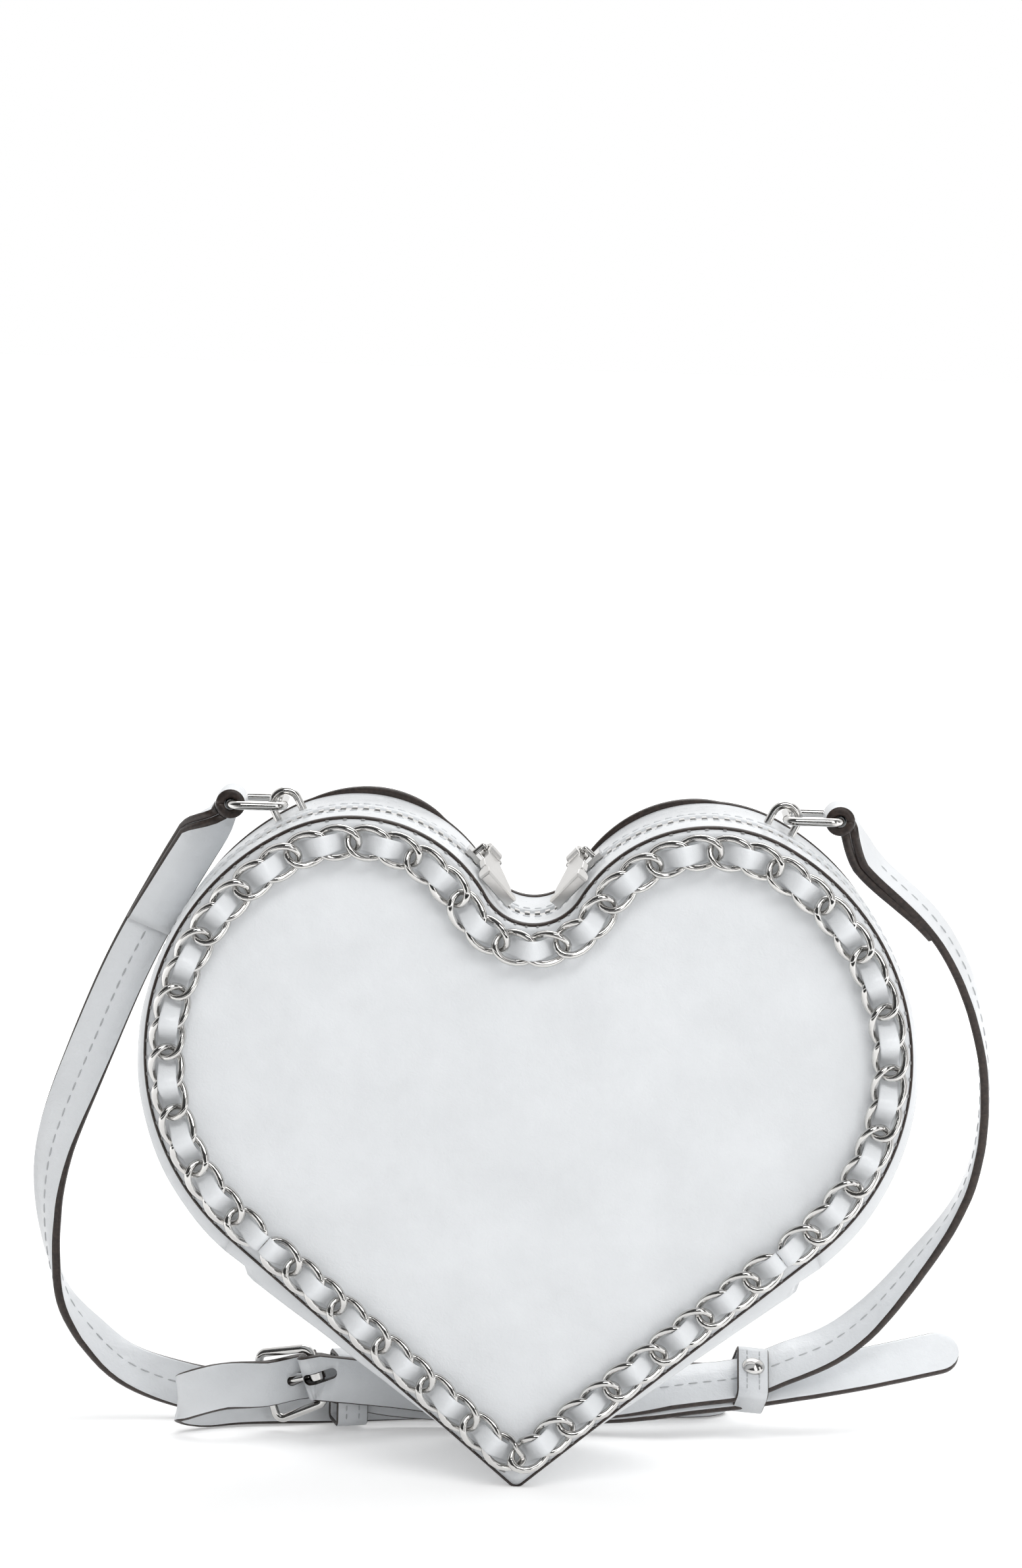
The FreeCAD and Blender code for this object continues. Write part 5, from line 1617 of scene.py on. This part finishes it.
def floor_material(colour):
    """Pale paper that fades to plain white away from the object and keeps its shadow."""
    paper, nodes, links, main = shader("floor_paper")
    main.inputs["Base Color"].default_value = shaded(colour[:3], 0.9) + (1.0,)
    main.inputs["Roughness"].default_value = 0.9
    main.inputs["Specular IOR Level"].default_value = 0.1
    main.inputs["Emission Color"].default_value = colour
    where = nodes.new("ShaderNodeTexCoord").outputs["Object"]
    grain = noise_node(nodes, links, where, 300.0)
    bumped(nodes, links, main, [(grain.outputs["Fac"], 0.02, 0.0002)])
    far = nodes.new("ShaderNodeVectorMath")
    far.operation = "LENGTH"
    links.new(where, far.inputs[0])
    fade = nodes.new("ShaderNodeMapRange")
    fade.interpolation_type = "SMOOTHSTEP"
    fade.inputs["From Min"].default_value, fade.inputs["From Max"].default_value = FLOOR_FADE
    fade.inputs["To Min"].default_value = FLOOR_GLOW
    fade.inputs["To Max"].default_value = 1.0
    links.new(far.outputs["Value"], fade.inputs["Value"])
    glow = nodes.new("ShaderNodeMath")
    glow.operation = "MULTIPLY"
    links.new(fade.outputs["Result"], glow.inputs[0])
    links.new(seen_directly(nodes, links), glow.inputs[1])
    links.new(glow.outputs["Value"], main.inputs["Emission Strength"])
    return paper


def studio_world(colour):
    """Bright room behind and above the object, darker on the camera's side."""
    world = bpy.data.worlds.new("studio")
    world.use_nodes = True
    nodes, links = world.node_tree.nodes, world.node_tree.links
    room = nodes["Background"]
    room.inputs["Strength"].default_value = 0.8
    where = nodes.new("ShaderNodeTexCoord").outputs["Generated"]
    axes = nodes.new("ShaderNodeSeparateXYZ")
    links.new(where, axes.inputs["Vector"])
    side = nodes.new("ShaderNodeMapRange")
    side.inputs["From Min"].default_value = -1.0
    side.inputs["From Max"].default_value = 1.0
    links.new(axes.outputs["Y"], side.inputs["Value"])
    stops = [(0.0, grey(0.02)), (0.42, grey(0.05)), (0.62, grey(1.0))]
    ramp = ramp_node(nodes, links, side.outputs["Result"], stops)
    path = nodes.new("ShaderNodeLightPath")
    soft = nodes.new("ShaderNodeMix")
    soft.data_type = "RGBA"
    soft.inputs["A"].default_value = (0.62, 0.62, 0.62, 1.0)
    links.new(path.outputs["Is Glossy Ray"], soft.inputs["Factor"])
    links.new(ramp.outputs["Color"], soft.inputs["B"])
    links.new(soft.outputs["Result"], room.inputs["Color"])
    plain = nodes.new("ShaderNodeBackground")
    plain.inputs["Color"].default_value = colour
    behind = nodes.new("ShaderNodeMath")
    behind.operation = "MULTIPLY"
    links.new(seen_directly(nodes, links), behind.inputs[0])
    links.new(ramp.outputs["Color"], behind.inputs[1])
    shown = nodes.new("ShaderNodeMath")
    shown.operation = "MAXIMUM"
    links.new(path.outputs["Is Camera Ray"], shown.inputs[0])
    links.new(behind.outputs["Value"], shown.inputs[1])
    mix = nodes.new("ShaderNodeMixShader")
    links.new(shown.outputs["Value"], mix.inputs["Fac"])
    links.new(room.outputs["Background"], mix.inputs[1])
    links.new(plain.outputs["Background"], mix.inputs[2])
    links.new(mix.outputs["Shader"], nodes["World Output"].inputs["Surface"])
    return world


def flat_sheet(name, half, near, far, height):
    """Level sheet of the stage between two depths."""
    corners = [(-half, near, height), (half, near, height), (half, far, height), (-half, far, height)]
    mesh = bpy.data.meshes.new(name)
    mesh.from_pydata(corners, [], [(0, 1, 2, 3)])
    sheet = bpy.data.objects.new(name, mesh)
    bpy.context.scene.collection.objects.link(sheet)
    return sheet


def dark_card(name, *place):
    """Dark sheet that only mirrors see, so that polished metal has contrast."""
    card = flat_sheet(name, *place)
    card.visible_camera = card.visible_diffuse = card.visible_shadow = False
    paint, _, _, main = shader(name)
    main.inputs["Base Color"].default_value = (0.02, 0.02, 0.02, 1.0)
    main.inputs["Roughness"].default_value = 0.9
    main.inputs["Specular IOR Level"].default_value = 0.0
    card.data.materials.append(paint)


def lamp(name, place, target, size, power):
    """Soft rectangular lamp aimed at a point."""
    data = bpy.data.lights.new(name, "AREA")
    data.shape = "RECTANGLE"
    data.size, data.size_y = size
    data.energy = power
    light = bpy.data.objects.new(name, data)
    light.location = place
    light.rotation_euler = (Vector(target) - Vector(place)).to_track_quat("-Z", "Y").to_euler()
    bpy.context.scene.collection.objects.link(light)


class PURSE_OT_stage(bpy.types.Operator):
    """Floor, light and camera"""

    bl_idname = "purse.stage"
    bl_label = "Build Stage"

    def execute(self, context):
        scene = context.scene
        scene.view_settings.view_transform = "Standard"
        colour = tuple(scene.looks.backdrop) + (1.0,)
        floor = flat_sheet("floor", 6.0, -6.0, 6.0, 0.0)
        floor.data.materials.append(floor_material(colour))
        dark_card("front_card", 0.9, -0.3, -1.3, 0.002)
        scene.world = studio_world(colour)
        for name, values in LAMPS.items():
            lamp(name, *values)
        data = bpy.data.cameras.new("camera")
        data.sensor_fit = "VERTICAL"
        data.sensor_height = SENSOR_HEIGHT
        data.lens = FOCAL_PIXELS * SENSOR_HEIGHT / PHOTO_HEIGHT
        data.clip_start, data.clip_end = 0.05, 30.0
        camera = bpy.data.objects.new("camera", data)
        scene.collection.objects.link(camera)
        camera.matrix_world = camera_pose(CAMERA_PLACE + shift(), *CAMERA_TURNS)
        scene.camera = camera
        return {"FINISHED"}


class PURSE_PT_panel(bpy.types.Panel):
    """Sizes and build buttons"""

    bl_idname = "PURSE_PT_panel"
    bl_label = "Heart Purse"
    bl_space_type = "VIEW_3D"
    bl_region_type = "UI"
    bl_category = "Purse"

    def draw(self, context):
        for group in ("purse", "trim", "strap", "looks"):
            settings = getattr(context.scene, group)
            column = self.layout.column()
            for name in settings.__annotations__:
                column.prop(settings, name)
        for operator in OPERATORS:
            self.layout.operator(operator.bl_idname)


GROUPS = {"purse": PurseSizes, "trim": TrimSizes, "strap": StrapSizes, "looks": LookSettings}
OPERATORS = (
    PURSE_OT_body, PURSE_OT_zip, PURSE_OT_trim, PURSE_OT_strap,
    PURSE_OT_hardware, PURSE_OT_inside, PURSE_OT_stage)


def register():
    """Adds the classes and the scene's settings."""
    for name, group in GROUPS.items():
        bpy.utils.register_class(group)
        setattr(bpy.types.Scene, name, bpy.props.PointerProperty(type=group))
    for operator in OPERATORS:
        bpy.utils.register_class(operator)
    bpy.utils.register_class(PURSE_PT_panel)


def unregister():
    """Removes what register added."""
    bpy.utils.unregister_class(PURSE_PT_panel)
    for operator in reversed(OPERATORS):
        bpy.utils.unregister_class(operator)
    for name, group in GROUPS.items():
        delattr(bpy.types.Scene, name)
        bpy.utils.unregister_class(group)


def main():
    """Builds everything."""
    register()
    for operator in OPERATORS:
        family, name = operator.bl_idname.split(".")
        getattr(getattr(bpy.ops, family), name)()
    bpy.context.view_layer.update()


if __name__ == "__main__":
    main()
